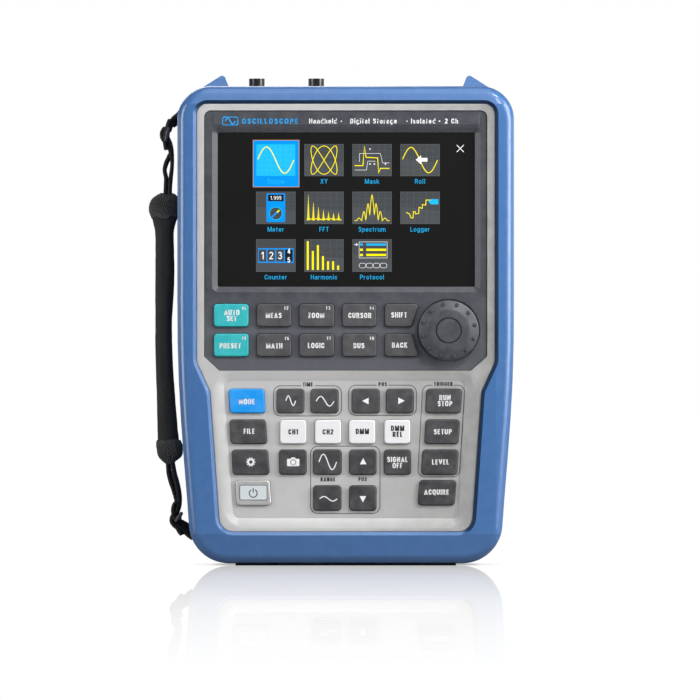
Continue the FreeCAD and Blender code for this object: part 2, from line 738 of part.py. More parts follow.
def build_keypad():
    mat = new_body("keypad_mat")
    knob_opening = rect(knob_x - 9.0, knob_x + 9.0, knob_z - 9.0, knob_z + 9.0)
    pad(mat, "mat_sheet", 20.0, 1.4, polys=[MAT, knob_opening])
    domes = []
    for left_top, right_top, right_low, left_low, top, low in key_dims.values():
        centre_x = (left_top + right_top + right_low + left_low) / 4.0
        domes.append((centre_x, (top + low) / 2.0, 4.2))
    dome_back = 21.2
    dome_height = 1.4
    pad(mat, "mat_domes", dome_back, dome_height, circles=domes)
    chamfer(mat, "mat_dome_edge", plane_edges(mat, dome_back + dome_height), 0.9)

    board = new_body("keypad_board")
    board_back = 18.2
    pad(board, "keypad_board_sheet", board_back, 1.6, polys=[MAT])
    pad(board, "keypad_board_header", board_back, 5.0, back=True,
        polys=[rect(-20.0, 20.0, 112.0, 118.0)])


# Chips on the back of the main board: x from, to, z from, to.
CHIPS = [(-30.0, 2.0, 96.0, 128.0), (14.0, 34.0, 100.0, 114.0), (14.0, 34.0, 118.0, 132.0),
         (-62.0, -40.0, 60.0, 82.0), (40.0, 68.0, 40.0, 70.0), (-60.0, -30.0, 24.0, 44.0)]
CAN_SPANS = [(-72.0, -38.0), (-33.0, 1.0), (14.0, 56.0)]    # shield cans: x from, to


def build_main_board():
    board = new_body("main_board")
    board_back = 4.4
    outline = symmetric([(70.0, 16.0), (75.0, 34.0), (80.0, 44.0), (80.0, 252.0)])
    pad(board, "main_board_sheet", board_back, 1.6, polys=[outline])
    pad(board, "main_board_chips", board_back, 3.0, back=True,
        polys=[rect(*chip) for chip in CHIPS])

    cans = new_body("shield_cans")
    cans.AllowCompound = True
    can_front = 4.2
    can_depth = 10.0
    pad(cans, "can_blocks", can_front, can_depth, back=True,
        polys=[rect(x0, x1, 168.0, 238.0) for x0, x1 in CAN_SPANS])
    fillet(cans, "can_edges", plane_edges(cans, can_front - can_depth), 1.2)


# ---- rotary control ----------------------------------------------------------
def knob_circles(*radii):
    return [(knob_x, knob_z, radius) for radius in radii]


def build_encoder():
    case = new_body("encoder_body")
    case_back = 19.95
    case_depth = 6.2
    half = 7.0
    pad(case, "encoder_case", case_back, case_depth,
        polys=[rect(knob_x - half, knob_x + half, knob_z - half, knob_z + half)])
    pocket(case, "encoder_bore", case_back + case_depth, 5.4, circles=knob_circles(5.6))

    rotor = new_body("encoder_rotor")
    pad(rotor, "rotor_ring", 21.2, 3.6, circles=knob_circles(5.25, shaft_radius + 0.3))

    shaft = new_body("encoder_shaft")
    shaft_back = 21.8
    shaft_length = 12.0
    pad(shaft, "shaft_round", shaft_back, shaft_length, circles=knob_circles(shaft_radius))
    chamfer(shaft, "shaft_tip", plane_edges(shaft, shaft_back + shaft_length), 0.5)


def pattern_nubs(body, nub, count):
    """Repeats the nub round the knob's axis."""
    pattern = body.newObject("PartDesign::PolarPattern", "knob_nubs")
    pattern.Originals = [nub]
    axis = add_sketch(body, "knob_axis", 0.0, circles=[(0.0, 0.0, 1.0)])
    axis.AttachmentOffset = Placement(Vector(knob_x.value, knob_z.value, 0), Rotation())
    bind(axis, "AttachmentOffset.Base.x", knob_x)
    bind(axis, "AttachmentOffset.Base.y", knob_z)
    doc.recompute()
    pattern.Axis = (axis, ["N_Axis"])
    pattern.Angle = 360.0
    pattern.Occurrences = count
    before = volume(body)
    body.Tip = pattern
    doc.recompute()
    if volume(body) <= before:
        raise RuntimeError("nub pattern added nothing")


def build_knob():
    cone_depth, cone_width = 2.6, 6.5
    hub_depth = 2.4
    nub_angle = math.radians(11.9)      # first nub, from +Z toward +X
    body = new_body("knob_dial")
    pad(body, "knob_block", knob_back, knob_front - knob_back,
        circles=knob_circles(knob_radius))
    chamfer(body, "knob_cone", plane_edges(body, knob_front), cone_depth, cone_width)
    # the foot of the cone lies at either depth, by which face took which distance
    shoulder = plane_edges(body, knob_front - cone_depth, knob_front - cone_width)
    fillet(body, "knob_shoulder", shoulder, 1.0)
    pad(body, "knob_hub", knob_back, hub_depth, back=True, circles=knob_circles(6.2))
    pocket(body, "knob_bore", knob_back - hub_depth, 6.4, front=True,
           circles=knob_circles(shaft_radius + 0.05))
    pocket(body, "knob_cap_groove", knob_front, 1.0,
           circles=knob_circles(cap_radius, cap_radius - 0.7))

    nub_x = knob_x - nub_circle * math.sin(-nub_angle) * -1.0
    nub_z = knob_z + nub_circle * math.cos(nub_angle)
    nub = pad(body, "knob_nub", knob_back + 4.5, 1.75, circles=[(nub_x, nub_z, nub_radius)])
    straight_volume = volume(body)
    nub.TaperAngle = -22.0
    doc.recompute()
    if volume(body) >= straight_volume:
        raise RuntimeError("the nub did not taper")
    pattern_nubs(body, nub, 12)


# ---- connectors --------------------------------------------------------------
FLANGE_Z = 268.0
FLANGE_HEIGHT = 6.4


def build_bnc_inputs():
    barrel_z = 258.0
    lug_reach = 5.6
    sockets = []
    for tag, x in (("a", bnc_a_x), ("b", bnc_b_x)):
        barrel = cylinder("bnc_barrel_" + tag, x, connector_y, barrel_z, bnc_radius,
                          bnc_top - barrel_z)
        flange = cylinder("bnc_flange_" + tag, x, connector_y, FLANGE_Z, 7.5, FLANGE_HEIGHT)
        lug = cylinder("bnc_lug_" + tag, x - lug_reach, connector_y, bnc_top - 6.0, 0.9,
                       2.0 * lug_reach, "x")
        solid = fuse("bnc_solid_" + tag, [barrel, flange, lug])
        hole = cylinder("bnc_hole_" + tag, x, connector_y, bnc_top - 9.0, 3.6, 12.0)
        pin = cylinder("bnc_pin_" + tag, x, connector_y, bnc_top - 9.5, 1.1, 7.0)
        shell = cut("bnc_shell_" + tag, solid, hole)
        sockets.append(fuse("bnc_" + tag, [shell, pin]))
    group("bnc_inputs", sockets)


def build_meter_sockets():
    barrel_z = 256.0
    sockets = []
    for tag, x in (("a", jack_a_x), ("b", jack_b_x)):
        barrel = cylinder("jack_barrel_" + tag, x, connector_y, barrel_z, jack_radius,
                          jack_top - barrel_z)
        flange = cylinder("jack_flange_" + tag, x, connector_y, FLANGE_Z, 8.0, FLANGE_HEIGHT)
        solid = fuse("jack_solid_" + tag, [barrel, flange])
        hole = cylinder("jack_hole_" + tag, x, connector_y, jack_top - 20.0, jack_bore, 24.0)
        sockets.append(cut("jack_" + tag, solid, hole))
    group("meter_sockets", sockets)


PORT_SPANS = [(154.0, 170.0), (176.0, 189.0), (195.0, 206.0)]   # z from, to


def build_side_ports():
    ports = []
    for side, tag in SIDES:
        for i, (z0, z1) in enumerate(PORT_SPANS):
            label = "%s_%d" % (tag, i)
            block = box("port_" + label, low_x(side, 80.6, 16.0), 8.4, z0,
                        16.0, 11.2, z1 - z0)
            hole = box("port_hole_" + label, low_x(side, 88.6, 10.0), 10.0, z0 + 2.0,
                       10.0, 8.0, z1 - z0 - 4.0)
            ports.append(cut("port_shell_" + label, block, hole))
    group("side_port_connectors", ports)


# Right flap over the side ports, seen from above: x, y.
FLAP = [(97.6, 7.3), (99.7, 7.3), (100.3, 7.9), (100.3, 19.9), (99.9, 20.6), (97.6, 20.6)]
FLAP_PULL = [(99.8, 8.6), (100.7, 9.0), (100.7, 10.6), (99.8, 11.0)]


def build_port_flaps():
    height = flap_top - flap_bottom
    pull_height = 12.0
    pull_z = (flap_bottom + flap_top) / 2.0 - pull_height / 2.0
    for side, tag in SIDES:
        name = "port_flap_" + tag
        body = new_body(name)
        pad(body, name + "_plate", flap_bottom, height, plane="XY_Plane",
            polys=[on_side(side, FLAP)])
        pad(body, name + "_bead", flap_bottom, height, plane="XY_Plane",
            circles=[(side * 99.5, 20.6, 1.1)])
        pad(body, name + "_pull", pull_z, pull_height, plane="XY_Plane",
            polys=[on_side(side, FLAP_PULL)])


# ---- battery, its door, the stand --------------------------------------------
def build_battery():
    pack = new_body("battery_pack")
    pad(pack, "battery_block", -14.8, 18.6, back=True, polys=[bay_rect(-0.6)])
    round_all_corners(pack, "battery_round", 3.0)

    door = new_body("battery_door")
    door_front = back_front - 0.15
    pad(door, "door_block", door_front, door_front - hump_front, back=True,
        polys=[rect(-door_half, door_half, door_bottom, door_top)])
    round_all_corners(door, "door_round", 6.0)
    fillet(door, "door_edge", plane_edges(door, hump_front), 2.0)
    pocket(door, "door_hollow", door_front, 3.2, polys=[bay_rect(0.0)])
    screw_holes(door, "door", DOOR_SCREWS, head_depth=3.0, bore_depth=12.0)

    grip_pitch = 3.2
    grip_z = [142.0 + grip_pitch * i for i in range(4)]
    pocket(door, "door_grips", hump_front, 0.8, front=True,
           polys=[rect(-16.0, 16.0, z, z + 1.4) for z in grip_z])


def build_stand():
    outer_cut, inner_cut = 10.0, 6.0    # slanted corners at the foot of the frame
    inner_half = stand_half - stand_bar
    inner_bottom = stand_bottom + stand_bar
    frame = [(-stand_half, stand_bottom + outer_cut), (-stand_half + outer_cut, stand_bottom),
             (stand_half - outer_cut, stand_bottom), (stand_half, stand_bottom + outer_cut),
             (stand_half, stand_top), (inner_half, stand_top),
             (inner_half, inner_bottom + inner_cut), (inner_half - inner_cut, inner_bottom),
             (-inner_half + inner_cut, inner_bottom), (-inner_half, inner_bottom + inner_cut),
             (-inner_half, stand_top), (-stand_half, stand_top)]
    body = new_body("tilt_stand")
    stand_front = back_front - 0.6
    pad(body, "stand_frame", stand_front, stand_thickness, back=True, polys=[frame])
    # the long edges that reach the hinge stay square
    low_edges = plane_edges(body, stand_front - stand_thickness, z=(0.0, 175.0))
    fillet(body, "stand_edge", low_edges, 1.2)
    for tag, x in (("left", -stand_half), ("right", inner_half)):
        pad(body, "stand_eye_" + tag, x, stand_bar, plane="YZ_Plane",
            circles=[(HINGE_Y, stand_top, 2.4)])
    pocket(body, "stand_pin_holes", -stand_half - 1.0, stand_half * 2.0 + 2.0, front=True,
           plane="YZ_Plane", circles=[(HINGE_Y, stand_top, HINGE_BORE)])

    pin_length = 22.5
    pins = [cylinder("hinge_pin_" + tag, low_x(side, 51.0, pin_length), HINGE_Y, stand_top,
                     PIN_RADIUS, pin_length, "x") for side, tag in SIDES]
    group("stand_hinge_pins", pins)


# ---- screws ------------------------------------------------------------------
def screw(name, x, z, tip_y, head_y):
    """A screw along Y with its hexagon socket at the back."""
    head = cylinder(name + "_head", x, head_y, z, head_radius, 2.2, "y")
    shank = cylinder(name + "_shank", x, tip_y, z, shank_radius, head_y + 0.4 - tip_y, "y")
    socket = doc.addObject("Part::Prism", name + "_drive")
    socket.Polygon = 6
    socket.Circumradius = 1.35
    socket.Height = 2.0
    place(socket, x, head_y + 0.8, z, "y")
    return cut(name, fuse(name + "_blank", [head, shank]), socket)


def build_screws():
    screws = [screw("screw_%d" % i, x, z, tip_y=-8.3, head_y=27.7)
              for i, (x, z) in enumerate(CASE_SCREWS)]
    screws += [screw("door_screw_%d" % i, x, z, tip_y=22.0, head_y=34.2)
               for i, (x, z) in enumerate(DOOR_SCREWS)]
    group("case_screws", screws)


# ---- foot and hand strap -----------------------------------------------------
def build_foot():
    """One long strip under the case, with a shoe at each end."""
    half = 66.0
    shoe = 20.0
    rail = box("foot_rail", -half, -14.0, 0.0, 2.0 * half, 28.0, case_bottom)
    shoes = [box("foot_shoe_" + tag, low_x(side, half - shoe, shoe), -23.0, 0.0,
                 shoe, 44.0, case_bottom) for side, tag in SIDES]
    group("rubber_feet", [fuse("foot_strip", [rail] + shoes)])


# Strap parts on the left side of the case: x, z.
GRIP = [(grip_left, 209.0), (grip_left - 3.4, 211.0), (grip_left - 3.4, grip_top),
        (-101.6, grip_top), (-101.6, 209.0), (-103.0, 206.0), (-103.6, 140.0),
        (-103.0, 84.0), (-101.4, 73.0), (-100.2, 72.0), (-100.2, grip_bottom),
        (-112.6, grip_bottom), (-112.6, 74.0), (-112.9, 84.0)]
WEBBING = {
    "upper": [(-108.6, 222.6), (-103.2, 222.6), (-103.4, 238.0), (-104.8, 248.4),
              (-108.4, 248.4), (-109.6, 238.0)],
    "upper_end": [(-106.6, 266.4), (-103.4, 267.4), (-99.0, 264.6), (-98.6, 266.2),
                  (-103.2, 270.4), (-107.6, 269.0)],
    "lower": [(-109.2, 59.7), (-104.0, 59.7), (-100.2, 39.0), (-101.6, 27.6),
              (-105.4, 27.6), (-105.2, 39.0)],
    "lower_end": [(-103.0, 17.6), (-99.8, 17.6), (-92.2, 14.4), (-92.8, 12.6),
                  (-100.4, 14.4)],
}
BUCKLES = {
    "upper": [(-112.2, 249.0), (-103.2, 249.0), (-102.6, 258.0), (-103.6, 265.9),
              (-109.0, 266.0), (-112.6, 258.0)],
    "lower": [(-105.8, 27.0), (-100.6, 27.0), (-99.0, 22.0), (-99.4, 18.2),
              (-103.4, 18.2), (-106.2, 22.0)],
}


def strap_pieces(prefix, outlines, back, front):
    bodies = []
    for tag, outline in outlines.items():
        body = new_body(prefix + tag, exported=False)
        pad(body, prefix + tag + "_pad", back, front - back, polys=[outline])
        bodies.append(body)
    return bodies


def build_strap():
    grip = new_body("strap_grip")
    back, front = -4.0, 10.0
    pad(grip, "grip_block", back, front - back, polys=[GRIP])
    fillet(grip, "grip_round", plane_edges(grip, back, front), 0.9)
    group("strap_webbing", strap_pieces("strap_webbing_", WEBBING, back=-1.0, front=7.0))
    group("strap_buckles", strap_pieces("strap_buckle_", BUCKLES, back=-2.0, front=8.0))


# ---- check and export --------------------------------------------------------
def check_pieces():
    bad = [obj.Name for obj in doc.Objects if has_error(obj)]
    for name, obj in pieces.items():
        shape = obj.Shape
        if shape.isNull() or not shape.isValid() or not shape.Solids:
            bad.append(name + " (shape)")
        one_solid = obj.TypeId == "PartDesign::Body" and name != "shield_cans"
        if one_solid and len(shape.Solids) != 1:
            bad.append(name + " (solids)")
    if bad:
        raise RuntimeError("failed objects: " + ", ".join(bad))


def export_pieces():
    os.makedirs("parts", exist_ok=True)
    for obj in pieces.values():
        obj.Shape.exportStep(os.path.join("parts", obj.Label + ".step"))


for build in (build_front_housing, build_rear_housing, build_control_bezel,
              build_display_bezel, build_keys, build_screen, build_keypad, build_main_board,
              build_encoder, build_knob, build_bnc_inputs, build_meter_sockets,
              build_side_ports, build_port_flaps, build_battery, build_stand, build_screws,
              build_foot, build_strap):
    build()
doc.recompute()
check_pieces()
export_pieces()
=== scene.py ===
"""A handheld two-channel oscilloscope with a padded hand strap.

It stands upright on the floor: X runs across the front, the front faces -Y and Z is up.
The strap hangs on the -X side. Shapes are given in millimetres; materials, the stage, the
lights and the camera are in metres unless a name is multiplied by MM.
"""
import json
import math

import bmesh
import bpy
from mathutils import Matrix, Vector, noise


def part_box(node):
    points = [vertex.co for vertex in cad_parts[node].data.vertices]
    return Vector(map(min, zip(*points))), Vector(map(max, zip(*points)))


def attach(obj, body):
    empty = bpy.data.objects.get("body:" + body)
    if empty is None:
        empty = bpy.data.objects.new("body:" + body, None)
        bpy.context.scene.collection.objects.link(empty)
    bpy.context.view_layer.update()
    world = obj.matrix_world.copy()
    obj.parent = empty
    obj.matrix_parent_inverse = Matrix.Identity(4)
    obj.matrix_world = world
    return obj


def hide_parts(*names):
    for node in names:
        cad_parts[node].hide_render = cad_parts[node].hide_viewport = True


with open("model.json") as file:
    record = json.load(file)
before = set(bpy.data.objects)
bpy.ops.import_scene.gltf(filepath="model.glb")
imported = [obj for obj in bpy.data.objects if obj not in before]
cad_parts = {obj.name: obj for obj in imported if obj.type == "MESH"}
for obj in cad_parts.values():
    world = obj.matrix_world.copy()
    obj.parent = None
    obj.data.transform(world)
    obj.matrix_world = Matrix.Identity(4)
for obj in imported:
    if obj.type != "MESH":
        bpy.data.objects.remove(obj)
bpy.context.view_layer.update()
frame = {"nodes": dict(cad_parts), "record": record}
NODES = frame["nodes"]
SLOT_OF = {part["node"]: part["material_slot"] for part in frame["record"]["subparts"]}
MM = 0.001


# ---------------------------------------------------------------- shader node helpers
class Nodes:
    """Short calls that add nodes to one emptied shader tree."""

    def __init__(self, tree):
        tree.nodes.clear()
        self.tree = tree

    def feed(self, socket, value):
        """Link another socket, or set a plain value. Colours are given as (r, g, b)."""
        if isinstance(value, bpy.types.NodeSocket):
            self.tree.links.new(value, socket)
        elif socket.type == "RGBA":
            socket.default_value = (*value, 1.0)
        else:
            socket.default_value = value

    def fill(self, node, inputs):
        for key, value in inputs.items():
            self.feed(node.inputs[key], value)

    def add(self, kind, inputs=None, **settings):
        node = self.tree.nodes.new("ShaderNode" + kind)
        for key, value in settings.items():
            setattr(node, key, value)
        self.fill(node, inputs or {})
        return node

    def coords(self):
        return self.add("TexCoord").outputs["Object"]

    def xyz(self, vector):
        return self.add("SeparateXYZ", {0: vector}).outputs

    def noise(self, vector, scale, detail=4.0, rough=0.55):
        inputs = {"Scale": scale, "Detail": detail, "Roughness": rough, "Vector": vector}
        return self.add("TexNoise", inputs).outputs["Fac"]

    def remap(self, value, start, end):
        """Linear map; start and end are pairs of (value in, value out)."""
        inputs = {"From Min": start[0], "From Max": end[0],
                  "To Min": start[1], "To Max": end[1], "Value": value}
        return self.add("MapRange", inputs).outputs["Result"]

    def math(self, operation, *values):
        return self.add("Math", dict(enumerate(values)), operation=operation).outputs[0]

    def mix(self, factor, first, second):
        node = self.add("Mix", data_type="RGBA")
        self.feed(node.inputs["Factor"], factor)
        colour_inputs = [socket for socket in node.inputs if socket.type == "RGBA"]
        for socket, value in zip(colour_inputs, (first, second)):
            self.feed(socket, value)
        return [socket for socket in node.outputs if socket.type == "RGBA"][0]

    def bump(self, height, strength, distance, normal=None):
        node = self.add("Bump", {"Strength": strength, "Distance": distance, "Height": height})
        if normal is not None:
            self.feed(node.inputs["Normal"], normal)
        return node.outputs["Normal"]

    def edge_mask(self, radius):
        """0.8 along sharp edges, 0 on flat faces."""
        bevel = self.add("Bevel", {"Radius": radius}, samples=4)
        geometry = self.add("NewGeometry")
        dot = self.add("VectorMath", {0: bevel.outputs[0], 1: geometry.outputs["Normal"]},
                       operation="DOT_PRODUCT")
        return self.remap(dot.outputs["Value"], (0.97, 1.0), (0.80, 0.0))


MATS = {}


def new_material(name):
    material = bpy.data.materials.new(name)
    material.use_nodes = True
    nodes = Nodes(material.node_tree)
    MATS[name] = material
    return nodes, nodes.add("OutputMaterial")


def principled(name):
    nodes, output = new_material(name)
    bsdf = nodes.add("BsdfPrincipled")
    nodes.feed(output.inputs[0], bsdf.outputs[0])
    return nodes, bsdf


def scaled(colour, factor, lift=0.0):
    return tuple(min(1.0, c * factor + lift) for c in colour)


# ---------------------------------------------------------------- kinds of material
def painted_seam_shadow(nodes):
    """Mask for a painted shadow on the faces round the window that look to -X or down: its +X and
    upper sides.
    """
    geometry = nodes.add("NewGeometry").outputs
    place = nodes.xyz(geometry["Position"])
    normal = nodes.xyz(geometry["Normal"])

    def sheltered(axis, beyond):
        facing = nodes.remap(normal[axis], (-0.15, 0.0), (-0.45, 1.0))
        return nodes.math("MULTIPLY", facing, nodes.math("GREATER_THAN", place[axis], beyond))

    right = sheltered("X", beyond=0.05)
    above = sheltered("Z", beyond=0.15)
    front = nodes.math("LESS_THAN", place["Y"], -0.020)
    return nodes.math("MULTIPLY", nodes.math("MAXIMUM", right, above), front)


# Each bar of the case frame falls away outward.
# Axis, its sign, distance where the fall begins (mm), slope.
CROWN_BARS = (("Z", 1, 275.977, 0.26), ("X", 1, 89.8794, 0.16),
              ("X", -1, 90.1186, 0.03), ("Z", -1, -18.837, 0.20))


def frame_crown(nodes):
    """Height field of the slight crown on the face of the case."""
    place = nodes.xyz(nodes.add("NewGeometry").outputs["Position"])
    height = None
    for axis, sign, start, slope in CROWN_BARS:
        outward = nodes.math("MULTIPLY", place[axis], sign)
        past = nodes.math("MAXIMUM", nodes.math("SUBTRACT", outward, start * MM), 0.0)
        fall = nodes.math("MULTIPLY", past, -slope)
        height = fall if height is None else nodes.math("ADD", height, fall)
    return height


def moulded(name, colour, *, rough=0.5, rough_var=0.08, grain=1400.0, grain_amount=0.12,
            grain_depth=0.00006, mottle=0.06, coat=0.0, coat_rough=0.2, metallic=0.0,
            wear=0.0, wear_colour=None, edge=0.0006, fade=None, crown_and_seam_shadow=False):
    """Moulded plastic, rubber or lacquer: fine grain, slow colour drift and worn edges.

    grain is the noise scale, edge the radius of the worn rim, and fade a tuple of
    (second colour, start in mm, end in mm, axis): a colour ramp along that axis, which
    the materials below use for painted light and shade. The crown flag adds a bump that
    tilts the case face outward and paints a shadow on the window's sheltered bevels.
    """
    specular = 0.5
    nodes, bsdf = principled(name)
    vector = nodes.coords()
    slow = nodes.noise(vector, scale=22.0, detail=3.0)
    fine = nodes.noise(vector, scale=grain, detail=2.0, rough=0.6)
    mid = nodes.noise(vector, scale=160.0, detail=4.0, rough=0.6)

    shade = nodes.mix(slow, scaled(colour, 1 - mottle), scaled(colour, 1 + mottle, 0.002))
    specks = nodes.remap(fine, (0.35, 0.0), (0.75, mottle * 1.6))
    shade = nodes.mix(specks, shade, scaled(colour, 1.35, 0.01))
    # fade paints light and shade: a colour ramp along one axis of the world
    if fade:
        far_colour, start, end, axis = fade
        place = nodes.xyz(nodes.add("NewGeometry").outputs["Position"])
        amount = nodes.remap(place[axis], (start * MM, 0.0), (end * MM, 1.0))
        far = nodes.mix(slow, scaled(far_colour, 1 - mottle), scaled(far_colour, 1 + mottle))
        shade = nodes.mix(amount, shade, far)
    if wear > 0:
        patches = nodes.remap(mid, (0.38, 0.0), (0.68, 1.0))
        worn = nodes.math("MULTIPLY", nodes.edge_mask(edge), patches)
        shade = nodes.mix(nodes.math("MULTIPLY", worn, wear), shade,
                          wear_colour or scaled(colour, 1.6, 0.04))

    roughness = nodes.math("ADD",
                           nodes.remap(mid, (0.3, rough - rough_var), (0.7, rough + rough_var)),
                           nodes.remap(fine, (0.3, -0.03), (0.7, 0.03)))
    nodes.fill(bsdf, {"Roughness": roughness, "Metallic": metallic,
                      "Specular IOR Level": specular,
                      "Coat Weight": coat, "Coat Roughness": coat_rough})
    crown = None
    if crown_and_seam_shadow:
        # painted shadow: the window's bevels that look to -X or down are darkened to deep blue
        # and lose their gloss
        shadow_mask = painted_seam_shadow(nodes)
        shade = nodes.mix(nodes.math("MULTIPLY", shadow_mask, 0.80), shade, (0.008, 0.014, 0.026))
        nodes.fill(bsdf, {
            "Specular IOR Level": nodes.remap(shadow_mask, (0.0, specular), (1.0, 0.05)),
            "Coat Weight": nodes.remap(shadow_mask, (0.0, coat), (1.0, 0.0))})
        crown = nodes.bump(frame_crown(nodes), strength=1.0, distance=1.0)
    nodes.fill(bsdf, {"Base Color": shade,
                      "Normal": nodes.bump(fine, grain_amount, grain_depth, crown)})


def glow(name, colour, strength=1.0, rough=0.25):
    """Lit image on the screen, with the faint cell structure of the panel."""
    nodes, bsdf = principled(name)
    vector = nodes.coords()
    cells = nodes.add("TexWave", {"Scale": 1650.0, "Vector": vector},
                      wave_type="BANDS", bands_direction="X").outputs["Fac"]
    lit = nodes.mix(nodes.remap(cells, (0.0, 0.93), (1.0, 1.04)), (0, 0, 0), colour)
    nodes.fill(bsdf, {"Base Color": scaled(colour, 0.25), "Emission Color": lit,
                      "Emission Strength": strength, "Roughness": rough})
    grain = nodes.noise(vector, scale=900.0)
    nodes.feed(bsdf.inputs["Roughness"],
               nodes.remap(grain, (0.3, rough - 0.05), (0.7, rough + 0.05)))


def ink(name, colour):
    """Printed legend: slightly uneven ink."""
    rough = 0.55
    nodes, bsdf = principled(name)
    grain = nodes.noise(nodes.coords(), scale=1800.0, detail=3.0)
    shade = nodes.mix(nodes.remap(grain, (0.3, 0.0), (0.8, 1.0)), colour, scaled(colour, 0.86))
    nodes.fill(bsdf, {
        "Base Color": shade,
        "Roughness": nodes.remap(grain, (0.3, rough - 0.06), (0.7, rough + 0.06)),
        "Normal": nodes.bump(grain, strength=0.15, distance=0.00003)})


def woven(name, colour, knit=False):
    """Fabric. The pieces carry their own run and across coordinates in millimetres."""
    knit_pitch, weave_pitch = 2 * 1.3, 0.55
    nodes, bsdf = principled(name)
    run = nodes.add("Attribute", attribute_name="run").outputs["Fac"]
    across = nodes.add("Attribute", attribute_name="across").outputs["Fac"]
    vector = nodes.coords()

    def sine(value, pitch, phase=0.0):
        angle = nodes.math("MULTIPLY", value, 2 * math.pi / pitch)
        return nodes.math("SINE", nodes.math("ADD", angle, phase))

    if knit:
        diagonal = sine(nodes.math("ADD", run, across), knit_pitch)
        height = nodes.math("SUBTRACT", nodes.math("ABSOLUTE", diagonal), 0.5)
    else:
        checks = nodes.math("MULTIPLY", sine(run, weave_pitch), sine(across, weave_pitch))
        height = nodes.math("MULTIPLY", checks, 0.25)
    height = nodes.math("ADD", height, 0.5)
    slow = nodes.noise(vector, scale=60.0, detail=3.0)
    fuzz = nodes.noise(vector, scale=3200.0, detail=2.0)
    # painted light and shade of the threads: the ridges are lighter and the grooves darker,
    # besides the bump
    shade = nodes.mix(height, scaled(colour, 0.25), scaled(colour, 2.0, 0.012))
    shade = nodes.mix(nodes.remap(slow, (0.35, 0.0), (0.7, 0.45)), shade, scaled(colour, 0.6))
    shade = nodes.mix(nodes.remap(fuzz, (0.55, 0.0), (0.85, 0.35)), shade,
                      scaled(colour, 2.4, 0.02))
    nodes.fill(bsdf, {"Base Color": shade, "Roughness": 0.85, "Sheen Weight": 0.12,
                      "Sheen Roughness": 0.45, "Sheen Tint": (0.5, 0.5, 0.52)})
    threads = nodes.bump(height, strength=0.75, distance=0.00025 if knit else 0.00010)
    nodes.fill(bsdf, {
        "Roughness": nodes.remap(fuzz, (0.3, 0.75), (0.7, 0.95)),
        "Normal": nodes.bump(fuzz, strength=0.25, distance=0.00005, normal=threads)})


def metal(name, colour, rough, direction):
    """Brushed metal; the grain is stretched along the given axis."""
    grain, stretch = 900.0, 60.0
    nodes, bsdf = principled(name)
    scale = [grain / stretch if axis == direction else grain for axis in "XYZ"]
    brushed = nodes.add("Mapping", {"Scale": scale, "Vector": nodes.coords()})
    streaks = nodes.noise(brushed.outputs[0], scale=1.0, detail=4.0)
    nodes.fill(bsdf, {
        "Base Color": nodes.mix(streaks, scaled(colour, 0.86), scaled(colour, 1.06)),
        "Metallic": 1.0,
        "Roughness": nodes.remap(streaks, (0.3, rough - 0.08), (0.7, rough + 0.1)),
        "Normal": nodes.bump(streaks, strength=0.12, distance=0.00004)})


# ---------------------------------------------------------------- the materials
SILVER_SKIN = dict(grain=1900.0, grain_depth=0.00003, edge=0.0005)
PANEL_SKIN = dict(rough=0.46, grain=1500.0, grain_amount=0.14, grain_depth=0.00004,
                  wear=0.3, edge=0.0004)
KEY_SKIN = dict(grain=1700.0, grain_depth=0.00004, edge=0.0005)

# case_blue: painted shadow, dark and without gloss, on the window's upper and +X bevels
moulded("case_blue", (0.052, 0.150, 0.370), rough=0.32, rough_var=0.012, grain=1100.0,
        grain_amount=0.08, grain_depth=0.00005, mottle=0.012, coat=0.65, coat_rough=0.20,
        wear=0.10, wear_colour=(0.16, 0.30, 0.60), edge=0.0012, crown_and_seam_shadow=True)
# bezel_silver's fade paints shade: the silver grows darker towards +X
moulded("bezel_silver", (0.70, 0.695, 0.69), **SILVER_SKIN, rough=0.37, grain_amount=0.10,
        mottle=0.012, metallic=0.35, wear=0.25, wear_colour=(0.72, 0.72, 0.72),
        fade=((0.47, 0.465, 0.46), -15.3686, 77.3214, "X"))
moulded("panel_dark", (0.075, 0.080, 0.096), **PANEL_SKIN, mottle=0.07,
        wear_colour=(0.16, 0.165, 0.18))
# panel_screen's fade paints light: the display bezel grows lighter towards the bottom
moulded("panel_screen", (0.048, 0.052, 0.063), **PANEL_SKIN, mottle=0.03, rough_var=0.03,
        wear_colour=(0.13, 0.135, 0.15), fade=((0.092, 0.098, 0.114), 163.553, 145.613, "Z"))
# key_dark's fade paints shade: the keys grow darker towards the bottom
moulded("key_dark", (0.060, 0.060, 0.066), **KEY_SKIN, rough=0.52, rough_var=0.02,
        mottle=0.015, wear=0.4, wear_colour=(0.14, 0.14, 0.15),
        fade=((0.032, 0.032, 0.035), 131.859, 39.169, "Z"))
moulded("key_teal", (0.020, 0.42, 0.46), **KEY_SKIN, grain_amount=0.10, mottle=0.05,
        wear=0.3, wear_colour=(0.10, 0.60, 0.58))
moulded("key_blue", (0.0, 0.30, 0.84), **KEY_SKIN, grain_amount=0.10, mottle=0.04,
        wear=0.3, wear_colour=(0.10, 0.42, 0.95))
moulded("key_white", (0.80, 0.80, 0.82), **KEY_SKIN, grain_amount=0.10, mottle=0.02,
        wear=0.15, wear_colour=(0.7, 0.7, 0.7))
moulded("key_silver", (0.58, 0.575, 0.57), **SILVER_SKIN, rough=0.36, grain_amount=0.08,
        mottle=0.03, metallic=0.4, wear=0.2, wear_colour=(0.75, 0.75, 0.75))
moulded("knob_black", (0.056, 0.059, 0.067), **KEY_SKIN, rough=0.38, rough_var=0.02,
        mottle=0.02, wear=0.35, wear_colour=(0.15, 0.15, 0.16))
moulded("connector_black", (0.013, 0.013, 0.014), rough=0.30, grain=1200.0,
        grain_amount=0.06, grain_depth=0.00004, coat=0.2, wear=0.2)
